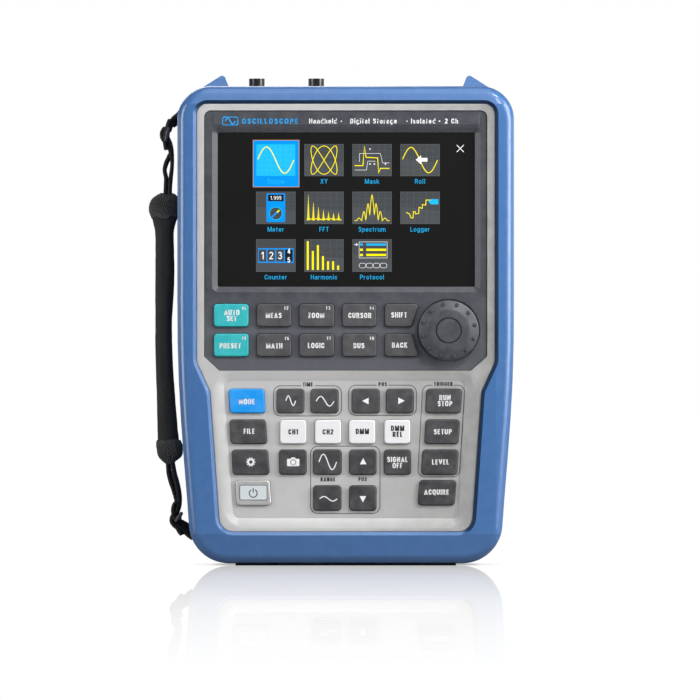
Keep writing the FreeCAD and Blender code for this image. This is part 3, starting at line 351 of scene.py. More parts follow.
moulded("cover_grey", (0.060, 0.063, 0.070), rough=0.52, grain=900.0, grain_amount=0.22,
        grain_depth=0.00008, mottle=0.025, wear=0.35, wear_colour=(0.15, 0.155, 0.165),
        edge=0.0008)
moulded("flap_rubber", (0.022, 0.022, 0.024), rough=0.68, grain=1300.0, grain_amount=0.16,
        grain_depth=0.00005, mottle=0.1, wear=0.3, wear_colour=(0.07, 0.07, 0.072))
moulded("battery_dark", (0.03, 0.03, 0.034), wear=0.2)
moulded("mat_rubber", (0.42, 0.44, 0.45), rough=0.6, mottle=0.04)
moulded("board_green", (0.012, 0.11, 0.04), rough=0.35, grain=600.0, coat=0.3)
moulded("nylon_white", (0.72, 0.72, 0.68), rough=0.45)
moulded("strap_plastic", (0.055, 0.055, 0.057), rough=0.38, grain=1200.0, grain_amount=0.08,
        wear=0.25, wear_colour=(0.08, 0.08, 0.08))
metal("module_metal", (0.62, 0.63, 0.64), rough=0.34, direction="X")
metal("steel", (0.52, 0.52, 0.53), rough=0.28, direction="Y")
metal("encoder_metal", (0.5, 0.5, 0.5), rough=0.35, direction="Z")
woven("strap_fabric", (0.012, 0.012, 0.013))
woven("strap_knit", (0.042, 0.042, 0.0425), knit=True)
woven("strap_web", (0.009, 0.009, 0.010))
moulded("screen_glass", (0.0105, 0.0105, 0.0107), rough=0.13, rough_var=0.02, grain=2200.0,
        grain_amount=0.03, grain_depth=0.00001, mottle=0.02)
ink("ink_white", (0.90, 0.90, 0.90))
ink("ink_dark", (0.030, 0.031, 0.036))
ink("ink_grey", (0.060, 0.062, 0.068))
ink("ink_cyan", (0.0, 0.36, 0.86))
glow("window_lit", (0.74, 0.80, 0.83), strength=0.62, rough=0.35)
glow("ui_blue", (0.0, 0.285, 0.86), strength=0.97)
glow("ui_sky", (0.012, 0.46, 0.86))
glow("ui_cyan", (0.015, 0.42, 0.80))
glow("ui_orange", (0.62, 0.24, 0.03), strength=0.8)
glow("ui_tile", (0.058, 0.063, 0.068))
glow("ui_tile_hi", (0.070, 0.076, 0.081))
glow("ui_sky_hi", (0.055, 0.52, 0.88))
glow("ui_grid", (0.115, 0.120, 0.125))
glow("ui_yellow", (0.93, 0.80, 0.0), strength=1.05)
glow("ui_white", (0.92, 0.94, 0.95))
glow("ui_black", (0.010, 0.010, 0.011))

for node_name, part in NODES.items():
    # the display bezel takes panel_screen, whose fade paints it lighter towards the bottom
    slot_name = "panel_screen" if node_name == "display_bezel" else SLOT_OF[node_name]
    material = MATS.get(slot_name)
    if not part.data.materials:
        part.data.materials.append(material)
    for slot in part.material_slots:
        slot.material = material
    part.data.polygons.foreach_set("use_smooth", [True] * len(part.data.polygons))

# faces of the side connectors that lie 88.5 to 96 mm from the centre plane take the black
# connector material
WELL_FROM, WELL_TO = 0.0885, 0.0960  # distance of their faces from the centre plane, metres
ports = NODES["side_port_connectors"]
if len(ports.material_slots) == 1:
    ports.data.materials.append(MATS["connector_black"])
    for polygon in ports.data.polygons:
        nearest = min(abs(ports.data.vertices[i].co.x) for i in polygon.vertices)
        if WELL_FROM < nearest < WELL_TO:
            polygon.material_index = 1


# ---------------------------------------------------------------- outlines in X and Z
def arc(cx, cz, rx, rz, start, end, steps=7):
    """Points of an elliptical arc; angles in degrees."""
    angles = [math.radians(start + (end - start) * i / steps) for i in range(steps + 1)]
    return [(cx + rx * math.cos(a), cz + rz * math.sin(a)) for a in angles]


def corners(x0, x1, z0, z1):
    return [(x0, z0), (x1, z0), (x1, z1), (x0, z1)]


def rounded_box(x0, x1, z0, z1, radius, steps=6):
    points = []
    for cx, cz, start in ((x1 - radius, z1 - radius, 0), (x0 + radius, z1 - radius, 90),
                          (x0 + radius, z0 + radius, 180), (x1 - radius, z0 + radius, 270)):
        points += arc(cx, cz, radius, radius, start, start + 90.0, steps)
    return points


def rounded_quad(quad, radius, steps=6):
    """Any four corners (anticlockwise), rounded."""
    points = []
    for i in range(4):
        corner = Vector(quad[i])
        back = (Vector(quad[i - 1]) - corner).normalized()
        ahead = (Vector(quad[(i + 1) % 4]) - corner).normalized()
        half = math.acos(max(-1, min(1, back.dot(ahead)))) / 2
        reach = radius / math.tan(half)
        start, end = corner + back * reach, corner + ahead * reach
        centre = corner + (back + ahead).normalized() * (radius / math.sin(half))
        for k in range(steps + 1):
            t = k / steps
            spoke = (start - centre) * (1 - t) + (end - centre) * t
            points.append(tuple(centre + spoke.normalized() * radius))
    return points


def circle(cx, cz, radius, count=28):
    angles = [2 * math.pi * i / count for i in range(count)]
    return [(cx + radius * math.cos(a), cz + radius * math.sin(a)) for a in angles]


def sine_wave(x0, x1, z, height, steps=40):
    return [(x0 + (x1 - x0) * i / steps, z + height * math.sin(2 * math.pi * i / steps))
            for i in range(steps + 1)]


# ---------------------------------------------------------------- stroke alphabet
# A glyph is its width and its parts. Positions run from 0 to 1 across the glyph and from
# 0 to 1 up a capital.
def stroke(points):
    return "stroke", points


def loop(points):
    return "loop", points


def bar(x0, z0, x1, z1):
    return "bar", (x0, z0, x1, z1)


def stem(x, z0=0, z1=1):
    return bar(x, z0, x, z1)


XH = 0.68  # height of the small letters
BOWL = 0.30  # rise of the round ends of a capital
OVAL = arc(0.5, 1 - BOWL, 0.5, BOWL, 0, 180, 10) + arc(0.5, BOWL, 0.5, BOWL, 180, 360, 10)
SMALL_OVAL = arc(0.5, XH - 0.27, 0.5, 0.27, 0, 180, 9) + arc(0.5, 0.27, 0.5, 0.27, 180, 360, 9)
SMALL_ARCH = stroke([(0, XH - 0.28)] + arc(0.5, XH - 0.28, 0.5, 0.28, 180, 0, 8) + [(1, -0.12)])
GLYPHS = {
    " ": (0.30, []),
    "A": (0.64, [bar(0, 0, 0.5, 1), bar(1, 0, 0.5, 1), stroke([(0.2, 0.2), (0.8, 0.2)])]),
    "B": (0.56, [stem(0), stroke([(0, 1), (0.5, 1)] + arc(0.5, 0.77, 0.42, 0.23, 90, -90)[1:]
                                 + [(0, 0.54)]),
                 stroke([(0, 0.54), (0.5, 0.54)] + arc(0.5, 0.27, 0.5, 0.27, 90, -90)[1:]
                        + [(0, 0)])]),
    "C": (0.56, [stroke([(1, 0.68)] + OVAL + [(1, 0.32)])]),
    "D": (0.58, [stem(0), stroke([(0, 1), (0.45, 1)] + arc(0.45, 0.65, 0.55, 0.35, 90, 0)[1:]
                                 + arc(0.45, 0.35, 0.55, 0.35, 0, -90) + [(0, 0)])]),
    "E": (0.48, [stem(0), stroke([(0, 1), (1.1, 1)]), stroke([(0, 0.52), (1, 0.52)]),
                 stroke([(0, 0), (1.1, 0)])]),
    "F": (0.46, [stem(0), stroke([(0, 1), (1.1, 1)]), stroke([(0, 0.50), (1, 0.50)])]),
    "G": (0.60, [stroke(arc(0.5, 1 - BOWL, 0.5, BOWL, 15, 180, 10)
                        + arc(0.5, BOWL, 0.5, BOWL, 180, 360, 10) + [(1, 0.50), (0.50, 0.50)])]),
    "H": (0.58, [stem(0), stem(1), stroke([(0, 0.5), (1, 0.5)])]),
    "I": (0.19, [stem(0.5)]),
    "K": (0.58, [stem(0), bar(0.12, 0.40, 0.95, 1), bar(1, 0, 0.38, 0.62)]),
    "L": (0.46, [stem(0), stroke([(0, 0), (1.1, 0)])]),
    "M": (0.76, [stem(0), stem(1), bar(0.5, 0, 0.04, 1), bar(0.5, 0, 0.96, 1)]),
    "N": (0.60, [stem(0), stem(1), bar(0.96, 0, 0.04, 1)]),
    "O": (0.60, [loop(OVAL)]),
    "P": (0.55, [stem(0), stroke([(0, 1), (0.5, 1)] + arc(0.5, 0.72, 0.5, 0.28, 90, -90)[1:]
                                 + [(0, 0.44)])]),
    "Q": (0.60, [loop(OVAL), bar(1.05, -0.10, 0.62, 0.28)]),
    "R": (0.57, [stem(0), stroke([(0, 1), (0.5, 1)] + arc(0.5, 0.74, 0.47, 0.26, 90, -90)[1:]
                                 + [(0, 0.48)]), bar(1, 0, 0.55, 0.5)]),
    "S": (0.54, [stroke([(0.98, 0.78)] + arc(0.5, 0.77, 0.48, 0.23, 20, 200, 9)
                        + arc(0.5, 0.27, 0.5, 0.27, 60, -160, 10) + [(0.02, 0.22)])]),
    "T": (0.52, [stem(0.5), stroke([(-0.15, 1), (1.15, 1)])]),
    "U": (0.58, [stroke([(0, 1.12), (0, BOWL)] + arc(0.5, BOWL, 0.5, BOWL, 180, 360, 10)
                        + [(1, 1.12)])]),
    "V": (0.62, [bar(0.5, 0, 0, 1), bar(0.5, 0, 1, 1)]),
    "X": (0.60, [bar(0, 0, 1, 1), bar(1, 0, 0, 1)]),
    "Y": (0.60, [stem(0.5, 0, 0.5), bar(0.5, 0.42, 0, 1), bar(0.5, 0.42, 1, 1)]),
    "Z": (0.54, [stroke([(0, 1), (1, 1)]), stroke([(0, 0), (1, 0)]), bar(0.05, 0, 0.95, 1)]),
    "1": (0.34, [stem(0.9), bar(0, 0.70, 0.8, 1)]),
    "2": (0.52, [stroke(arc(0.5, 0.74, 0.5, 0.26, 170, -20, 9) + [(0, 0), (1.08, 0)])]),
    "3": (0.52, [stroke(arc(0.46, 0.77, 0.46, 0.23, 165, -80, 9) + [(0.35, 0.54)]),
                 stroke([(0.40, 0.54)] + arc(0.47, 0.27, 0.53, 0.27, 80, -165, 9))]),
    "4": (0.56, [stem(0.78), stroke([(-0.05, 0.24), (1.15, 0.24)]), bar(0.04, 0.22, 0.74, 1)]),
    "5": (0.52, [stroke([(1, 1), (0.12, 1), (0.05, 0.55)]
                        + arc(0.46, 0.31, 0.54, 0.31, 110, -160, 9))]),
    "6": (0.54, [loop(arc(0.5, 0.30, 0.5, 0.30, 0, 360, 16)[:-1]),
                 stroke([(0, 0.32), (0.02, 0.55)] + arc(0.5, 0.66, 0.48, 0.34, 180, 60))]),
    "7": (0.50, [stroke([(-0.1, 1), (1, 1)]), bar(0.28, 0, 0.95, 0.98)]),
    "8": (0.54, [loop(arc(0.5, 0.77, 0.45, 0.23, 0, 360, 16)[:-1]),
                 loop(arc(0.5, 0.27, 0.5, 0.27, 0, 360, 16)[:-1])]),
    "9": (0.54, [loop(arc(0.5, 0.70, 0.5, 0.30, 0, 360, 16)[:-1]),
                 stroke([(1, 0.68), (0.98, 0.45)] + arc(0.5, 0.34, 0.48, 0.34, 0, -120))]),
    ".": (0.19, [stem(0.5, 0, 0.19)]),
    "a": (0.50, [stroke([(0.06, XH - 0.10)] + arc(0.52, XH - 0.24, 0.46, 0.24, 125, 0)
                        + [(0.98, -0.11)]),
                 stroke([(0.98, 0.42), (0.40, 0.38)] + arc(0.38, 0.19, 0.38, 0.19, 95, 270)
                        + [(0.60, 0.02), (0.98, 0.20)])]),
    "c": (0.48, [stroke([(1, XH - 0.24)] + arc(0.5, XH - 0.27, 0.5, 0.27, 15, 180, 8)
                        + arc(0.5, 0.27, 0.5, 0.27, 180, 345, 8) + [(1, 0.24)])]),
    "d": (0.52, [stem(1), loop(SMALL_OVAL)]),
    "e": (0.52, [stroke([(0.03, 0.34), (1, 0.34)] + arc(0.5, XH - 0.27, 0.5, 0.27, 0, 180, 8)
                        + arc(0.5, 0.27, 0.5, 0.27, 180, 330, 8))]),
    "g": (0.52, [loop(SMALL_OVAL),
                 stroke([(1, XH + 0.1), (1, -0.05)] + arc(0.5, -0.05, 0.5, 0.24, 0, -150))]),
    "h": (0.50, [stem(0), SMALL_ARCH]),
    "i": (0.19, [stem(0.5, 0, 0.72), stem(0.5, 0.84, 1.02)]),
    "k": (0.50, [stem(0), bar(0.1, 0.25, 0.95, 0.72), bar(1.05, 0, 0.38, 0.44)]),
    "l": (0.19, [stem(0.5, 0, 1.02)]),
    "m": (0.80, [stem(0, 0, 0.72),
                 stroke(arc(0.25, XH - 0.24, 0.25, 0.24, 180, 0) + [(0.5, -0.12)]),
                 stroke(arc(0.75, XH - 0.24, 0.25, 0.24, 180, 0) + [(1, -0.12)])]),
    "n": (0.50, [stem(0, 0, 0.72), SMALL_ARCH]),
    "o": (0.52, [loop(SMALL_OVAL)]),
    "p": (0.52, [stem(0, -0.24, 0.72), loop(SMALL_OVAL)]),
    "r": (0.34, [stem(0, 0, 0.72), stroke(arc(0.8, XH - 0.30, 0.8, 0.30, 175, 80, 5))]),
    "s": (0.46, [stroke(arc(0.5, XH - 0.17, 0.46, 0.17, 25, 205)
                        + arc(0.5, 0.18, 0.5, 0.18, 55, -155, 8))]),
    "t": (0.34, [stroke([(0.35, 1), (0.35, 0.20)] + arc(0.72, 0.20, 0.37, 0.20, 180, 285, 5)),
                 stroke([(-0.1, XH), (1.05, XH)])]),
    "u": (0.50, [stem(1, 0, 0.72),
                 stroke([(0, 0.80), (0, 0.28)] + arc(0.5, 0.28, 0.5, 0.28, 180, 360, 8))]),
}


# ---------------------------------------------------------------- flat print
def direction(start, end):
    dx, dz = end[0] - start[0], end[1] - start[1]
    length = max(math.hypot(dx, dz), 1e-9)  # points that coincide give no direction
    return dx / length, dz / length


class Print:
    """Thin closed shapes on planes that face the front, gathered into one mesh.

    y is the back of a shape; it stands proud of that by thick, towards -Y.
    """

    def __init__(self):
        self.verts, self.faces, self.mats = [], [], []

    def prism(self, points, y, thick, mat):
        points = [p for i, p in enumerate(points)
                  if i == 0 or abs(p[0] - points[i - 1][0]) + abs(p[1] - points[i - 1][1]) > 1e-6]
        count, base = len(points), len(self.verts)
        following = points[1:] + points[:1]
        if sum(p[0] * q[1] - q[0] * p[1] for p, q in zip(points, following)) < 0:
            points = points[::-1]
        self.verts += [(x, y - thick, z) for x, z in points] + [(x, y, z) for x, z in points]
        self.faces.append(list(range(base, base + count)))
        self.faces.append(list(range(base + 2 * count - 1, base + count - 1, -1)))
        for i in range(count):
            j = (i + 1) % count
            self.faces.append([base + j, base + i, base + count + i, base + count + j])
        self.mats += [mat] * (count + 2)

    def line(self, points, width, y, thick, mat, closed=False):
        """A stroke of even width with mitred joints, as one strip."""
        count, base = len(points), len(self.verts)
        for i, (x, z) in enumerate(points):
            ways = []
            if closed or i > 0:
                ways.append(direction(points[i - 1], points[i]))
            if closed or i < count - 1:
                ways.append(direction(points[i], points[(i + 1) % count]))
            tx, tz = sum(way[0] for way in ways), sum(way[1] for way in ways)
            length = math.hypot(tx, tz) or 1e-9
            tx, tz = tx / length, tz / length
            half = width / 2
            if len(ways) == 2:
                half *= 1.0 / max(0.45, tx * ways[0][0] + tz * ways[0][1])
            left = (x - tz * half, z + tx * half)
            right = (x + tz * half, z - tx * half)
            self.verts += [(left[0], y - thick, left[1]), (right[0], y - thick, right[1]),
                           (right[0], y, right[1]), (left[0], y, left[1])]
        for i in range(count if closed else count - 1):
            a, b = base + 4 * i, base + 4 * ((i + 1) % count)
            self.faces += [[a + k, b + k, b + (k + 1) % 4, a + (k + 1) % 4] for k in range(4)]
            self.mats += [mat] * 4
        if not closed:
            last = base + 4 * (count - 1)
            self.faces += [[base, base + 1, base + 2, base + 3],
                           [last + 3, last + 2, last + 1, last]]
            self.mats += [mat] * 2

    def text(self, words, x, z, size, y, thick, mat, wide=1.06, bold=0.20, gap=0.135):
        """Lettering centred on x and z; size is the height of a capital.

        bold (stroke width) and gap (between letters) are shares of that height.
        """
        run = sum(GLYPHS[letter][0] * wide + gap for letter in words) - gap
        pen = x - run * size / 2
        for letter in words:
            width, parts = GLYPHS[letter]

            def across(share):
                return pen + (bold / 2 + share * (width - bold)) * wide * size

            for kind, data in parts:
                if kind == "bar":
                    bottom_x, top_x = across(data[0]), across(data[2])
                    rise = (data[3] - data[1]) * size
                    lean = math.hypot(top_x - bottom_x, rise) / abs(rise)
                    half = bold * size / 2 * min(lean, 1.35)
                    bottom_z, top_z = (z + (share - 0.5) * size for share in (data[1], data[3]))
                    self.prism([(bottom_x - half, bottom_z), (bottom_x + half, bottom_z),
                                (top_x + half, top_z), (top_x - half, top_z)], y, thick, mat)
                else:
                    points = [(across(px), z + (bold / 2 + pz * (1 - bold) - 0.5) * size)
                              for px, pz in data]
                    self.line(points, bold * size, y, thick, mat, closed=kind == "loop")
            pen += (width * wide + gap) * size

    def build(self, name, body):
        mesh = bpy.data.meshes.new(name)
        mesh.from_pydata([tuple(c * MM for c in v) for v in self.verts], [], self.faces)
        names = sorted(set(self.mats))
        for mat in names:
            mesh.materials.append(MATS[mat])
        mesh.polygons.foreach_set("material_index", [names.index(mat) for mat in self.mats])
        mesh.update()
        obj = bpy.data.objects.new(name, mesh)
        bpy.context.scene.collection.objects.link(obj)
        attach(obj, body)


def front_of(node):
    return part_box(node)[0].y / MM


# ---------------------------------------------------------------- legends on the keys
INK = 0.04  # thickness of the print on the keys
CAPITAL, F_CAPITAL = 3.2, 2.0
LINE_OFFSET = 1.794  # of each line from the middle of a two-line legend

# Key: legend (a slash parts two lines), x and z of its middle.
KEY_LEGENDS = {
    "key_auto_set": ("AUTO/SET", -68.1122, 149.5598), "key_meas": ("MEAS", -43.056, 149.5598),
    "key_zoom": ("ZOOM", -17.7008, 149.5598), "key_cursor": ("CURSOR", 8.4916, 149.5598),
    "key_shift": ("SHIFT", 31.9332, 149.8588), "key_preset": ("PRESET", -69.0092, 131.4404),
    "key_math": ("MATH", -42.6972, 131.3806), "key_logic": ("LOGIC", -17.7008, 131.56),
    "key_bus": ("BUS", 7.8936, 131.5002), "key_back": ("BACK", 32.2322, 131.7992),
    "key_mode": ("MODE", -59.1422, 98.0122), "key_run_stop": ("RUN/STOP", 59.3814, 98.6102),
    "key_file": ("FILE", -57.707, 80.3114), "key_ch1": ("CH1", -31.395, 79.9526),
    "key_ch2": ("CH2", -10.5846, 79.9526), "key_dmm": ("DMM", 9.9866, 80.1918),
    "key_dmm_rel": ("DMM/REL", 31.0362, 80.2516), "key_setup": ("SETUP", 58.0658, 80.0124),
    "key_signal_off": ("SIGNAL/OFF", 30.9764, 61.594), "key_level": ("LEVEL", 56.6904, 61.893),
    "key_acquire": ("ACQUIRE", 54.3582, 43.8932),
}
DARK_LEGENDS = ("key_ch1", "key_ch2", "key_dmm", "key_dmm_rel")
# Key: second, smaller legend above the first, x and z.
F_LEGENDS = {
    "key_auto_set": ("F1", -60.8166, 153.8056), "key_meas": ("F2", -35.4614, 153.9252),
    "key_zoom": ("F3", -10.465, 153.985), "key_cursor": ("F4", 15.7274, 153.8654),
    "key_preset": ("F5", -60.697, 135.8058), "key_math": ("F6", -35.1026, 135.8058),
    "key_logic": ("F7", -9.9866, 135.9254), "key_bus": ("F8", 15.7274, 135.8058),
}
for key, (legend, x, z) in KEY_LEGENDS.items():
    mat, bold = ("ink_dark", 0.245) if key in DARK_LEGENDS else ("ink_white", 0.205)
    lines = legend.split("/")
    offsets = (0.0,) if len(lines) == 1 else (LINE_OFFSET, -LINE_OFFSET)
    drawing = Print()
    for words, offset in zip(lines, offsets):
        drawing.text(words, x, z + offset, CAPITAL, front_of(key), INK, mat, bold=bold)
    if key in F_LEGENDS:
        words, x, z = F_LEGENDS[key]
        drawing.text(words, x, z, F_CAPITAL, front_of(key), INK, "ink_white")
    drawing.build(key + "_legend", key)


# ---------------------------------------------------------------- icons on the keys
def build_icon(key, draw, *sizes):
    drawing = Print()
    draw(drawing, front_of(key), *sizes)
    drawing.build(key + "_icon", key)


def wave_icon(drawing, y, x0, x1, z, height):
    drawing.line(sine_wave(x0, x1, z, height), 0.62, y, INK, "ink_white")


def arrow_icon(drawing, y, cx, cz, pointing):
    size = 2.45
    turns = [math.radians(pointing) + math.radians(a) for a in (0, 125, 235)]
    drawing.prism([(cx + size * math.cos(a), cz + size * math.sin(a)) for a in turns],
                  y, INK, "ink_white")


def ring(drawing, cx, cz, outer, inner, y, mat, start=0.0, end=360.0):
    closed = end - start >= 360
    radius = (outer + inner) / 2
    points = arc(cx, cz, radius, radius, start, end, 36)
    drawing.line(points[:-1] if closed else points, outer - inner, y, INK, mat, closed=closed)


def gear_icon(drawing, y, cx, cz):
    teeth = 10
    tooth = ((2.05, 0.42), (2.75, 0.30), (2.75, -0.30), (2.05, -0.42))  # outward, sideways
    ring(drawing, cx, cz, 2.15, 1.05, y, "ink_white")
    for i in range(teeth):
        angle = 2 * math.pi * i / teeth
        cos, sin = math.cos(angle), math.sin(angle)
        drawing.prism([(cx + cos * out - sin * side, cz + sin * out + cos * side)
                       for out, side in tooth], y, INK, "ink_white")


def camera_icon(drawing, y, cx, cz):
    drawing.prism(rounded_box(cx - 3.7, cx + 3.7, cz - 2.5, cz + 1.9, 0.5, 3),
                  y, INK, "ink_white")
    drawing.prism([(cx - 1.6, cz + 1.85), (cx + 1.6, cz + 1.85),
                   (cx + 1.0, cz + 2.75), (cx - 1.0, cz + 2.75)], y, INK, "ink_white")
    ring(drawing, cx, cz - 0.2, 1.75, 1.40, y - INK, "ink_dark")


def power_icon(drawing, y, cx, cz):
    x0, x1, z0, z1 = -63.3282, -47.0626, 39.2288, 48.0194  # lit window
    window = 0.03
    drawing.prism(rounded_box(x0 + 0.1, x1 - 0.1, z0 + 0.1, z1 - 0.1, 0.8),
                  y, window, "window_lit")
    drawing.line(rounded_box(x0, x1, z0, z1, 0.9), 0.35, y, 0.10, "ink_grey", closed=True)
    ring(drawing, cx, cz, 2.65, 2.05, y - window, "ink_dark", start=118.0, end=422.0)
    drawing.line([(cx, cz + 0.4), (cx, cz + 3.2)], 0.6, y - window, INK, "ink_dark")


# Waves: x from, x to, z, amplitude. Arrows: x, z, pointing in degrees. The rest: x, z.
build_icon("key_time_fine", wave_icon, -35.7604, -29.9598, 98.5504, 2.9)
build_icon("key_time_coarse", wave_icon, -17.641, -6.9966, 98.2514, 2.9)
build_icon("key_range_up", wave_icon, -16.0264, -5.4418, 61.9528, 4.6)
build_icon("key_range_down", wave_icon, -15.6676, -5.083, 39.8866, 1.35)
build_icon("key_position_left", arrow_icon, 12.3188, 98.371, 180)
build_icon("key_position_right", arrow_icon, 32.8302, 98.4906, 0)
build_icon("key_position_up", arrow_icon, 10.465, 61.893, 90)
build_icon("key_position_down", arrow_icon, 10.2856, 40.1258, 270)
build_icon("key_settings", gear_icon, -56.7502, 61.893)
build_icon("key_camera", camera_icon, -31.395, 61.893)
build_icon("key_power", power_icon, -55.315, 43.1756)

# ---------------------------------------------------------------- print on the light bezel
BEZEL_Y = -28.0
PRINT = 0.03  # thickness of the print on the bezel and the header strip
GROUP_RADIUS = 4.4
GAP_ABOVE = 106.145  # an outline is broken for its label only above this height

# Rounded outline of a group of keys, and the x range left open for its label.
KEY_GROUPS = (
    (rounded_box(-43.2354, -2.4518, 89.401, 107.4606, GROUP_RADIUS), (-26.611, -18.7174)),
    (rounded_box(1.7342, 42.2786, 89.7, 107.8194, GROUP_RADIUS), (18.8968, 25.415)),
    (rounded_quad([(42.9962, 52.923), (67.873, 52.923), (71.2816, 107.8194),
                   (46.1058, 107.8194)], 4.0), (52.2054, 64.4644)),
    (rounded_box(-20.9898, 20.5114, 31.0362, 71.3414, GROUP_RADIUS), None),
)
# Label, x, z.
GROUP_LABELS = (("TIME", -22.6642, 108.2978), ("POS", 22.126, 108.4174),
                ("TRIGGER", 58.3648, 108.5968), ("RANGE", -10.6444, 51.4878),
                ("POS", 10.1062, 51.6074))


def subdivided(points, step=0.6):
    out = []
    for a, b in zip(points, points[1:] + points[:1]):
        count = max(1, int(math.hypot(b[0] - a[0], b[1] - a[1]) / step))
        out += [(a[0] + (b[0] - a[0]) * j / count, a[1] + (b[1] - a[1]) * j / count)
                for j in range(count)]
    return out


def draw_outline(drawing, points, gap):
    """A thin closed line, left open where its label stands."""
    runs, current = [], []
    for x, z in points + points[:1]:
        if gap and gap[0] <= x <= gap[1] and z >= GAP_ABOVE:
            if len(current) > 1:
                runs.append(current)
            current = []
        else:
            current.append((x, z))
    if len(current) > 1:
        runs.append(current)
    if len(runs) > 1 and runs[0][0] == runs[-1][-1]:
        runs[0] = runs[-1][:-1] + runs[0]
        runs.pop()
    for run in runs:
        closed = run[0] == run[-1]
        drawing.line(run[:-1] if closed else run, 0.42, BEZEL_Y, PRINT, "ink_grey",
                     closed=closed)


drawing = Print()
for points, gap in KEY_GROUPS:
    draw_outline(drawing, subdivided(points), gap)
for words, x, z in GROUP_LABELS:
    drawing.text(words, x, z, 2.45, BEZEL_Y, PRINT, "ink_dark", bold=0.25, gap=0.14)
drawing.build("bezel_print", "root")

# ---------------------------------------------------------------- title on the header strip
HEADER_Y = front_of("display_bezel")
HEADER_Z = 265.811
drawing = Print()
drawing.line(sine_wave(-72.059, -66.079, HEADER_Z, 1.75), 0.75, HEADER_Y, PRINT, "ink_cyan")
drawing.line(rounded_box(-73.6138, -64.5242, 263.419, 268.203, 1.0), 0.5, HEADER_Y, PRINT,
             "ink_cyan", closed=True)
drawing.text("OSCILLOSCOPE", -45.2686, 265.7512, 3.1, HEADER_Y, PRINT, "ink_cyan",
             wide=1.32, bold=0.21, gap=0.25)
for words, x in (("Handheld", -13.5746), ("Digital Storage", 16.6244),
                 ("Isolated", 46.345), ("2 Ch", 63.2684)):
    drawing.text(words, x, HEADER_Z, 3.0, HEADER_Y, PRINT, "ink_white",
                 wide=1.14, bold=0.19, gap=0.17)
for x in (-2.5714, 36.6574, 56.1522):
    drawing.prism(circle(x, 265.6914, 0.42, 12), HEADER_Y, PRINT, "ink_white")
drawing.build("header_print", "root")

# ---------------------------------------------------------------- the image on the screen
# Layers of the image, each nearer the viewer than the last.
TILE_Y = front_of("touch_glass")
GRID_Y, DRAW_Y, TOP_Y = TILE_Y - 0.02, TILE_Y - 0.04, TILE_Y - 0.06
THIN, THINNER = 0.02, 0.01

# Left and right of each column of tiles; bottom, top and label height of each row.
COLUMNS = ((-53.4612, -30.1392), (-24.5778, -1.3754), (4.1262, 27.3884), (32.8302, 56.1522))
ROWS = ((233.0406, 251.9374, 229.8114), (204.3964, 223.4726, 201.1074),
        (175.812, 194.948, 172.523))
LABELS = ("Scope", "XY", "Mask", "Roll", "Meter", "FFT", "Spectrum", "Logger",
          "Counter", "Harmonic", "Protocol")
TILES = [(i % 4, i // 4) for i in range(len(LABELS))]  # column, row
SELECTED = (0, 0)
PLAIN_TILES = ((0, 1), (0, 2), (2, 2))  # these have no grid
screen = Print()


def tile_box(column, row):
    return (*COLUMNS[column], *ROWS[row][:2])


def draw_grid(x0, x1, z0, z1, columns, rows, y, thick, mat):
    for i in range(1, columns):
        x = x0 + (x1 - x0) * i / columns
        screen.line([(x, z0 + 0.2), (x, z1 - 0.2)], 0.12, y, thick, mat)
    for i in range(1, rows):
        z = z0 + (z1 - z0) * i / rows
        screen.line([(x0 + 0.2, z), (x1 - 0.2, z)], 0.12, y, thick, mat)


def draw_selected_tile(x0, x1, z0, z1):
    left, right, bottom, top = -55.315, -27.9266, 226.4626, 254.3294  # highlight
    rim = 0.1196
    screen.prism(corners(left, right, bottom, top), TILE_Y, THIN, "ui_blue")
    screen.line(corners(left - rim, right + rim, bottom - rim, top + rim), 0.35, TILE_Y, 0.03,
                "ui_orange", closed=True)
    screen.prism(corners(x0, x1, z0, z1), GRID_Y, THIN, "ui_sky")
    draw_grid(x0, x1, z0, z1, 8, 6, DRAW_Y, 0.008, "ui_sky_hi")


def draw_tile(x0, x1, z0, z1, gridded):
    screen.prism(corners(x0, x1, z0, z1), TILE_Y, THIN, "ui_tile")
    slant = z0 + 0.55 * (z1 - z0)
    screen.prism([(x0, z0), (x1, z0), (x1, slant - 3.0), (x0, slant)], TILE_Y - 0.005, THIN,
                 "ui_tile_hi")
    if gridded:
        draw_grid(x0, x1, z0, z1, 6, 5, GRID_Y, 0.012, "ui_grid")
    screen.line(corners(x0, x1, z0, z1), 0.22, GRID_Y, 0.014, "ui_grid", closed=True)


def in_tile(points, column, row, margin=1.2):
    """Points given as shares of a tile inside its margin."""
    x0, x1, z0, z1 = tile_box(column, row)
    return [(x0 + margin + (x1 - x0 - 2 * margin) * a, z0 + margin + (z1 - z0 - 2 * margin) * b)
            for a, b in points]


def trace(points, column, row, width, mat="ui_yellow", margin=1.2):
    screen.line(in_tile(points, column, row, margin), width, DRAW_Y, THIN, mat)


def sampled(shape, steps=60):
    return [shape(i / steps) for i in range(steps + 1)]


def one_cycle(t):
    return t, 0.5 + 0.46 * math.sin(6.22 * t + 0.066)


def two_by_three_figure(t):
    return (0.5 + 0.36 * math.sin(2 * math.pi * 2 * t),
            0.5 + 0.49 * math.sin(2 * math.pi * 3 * t))


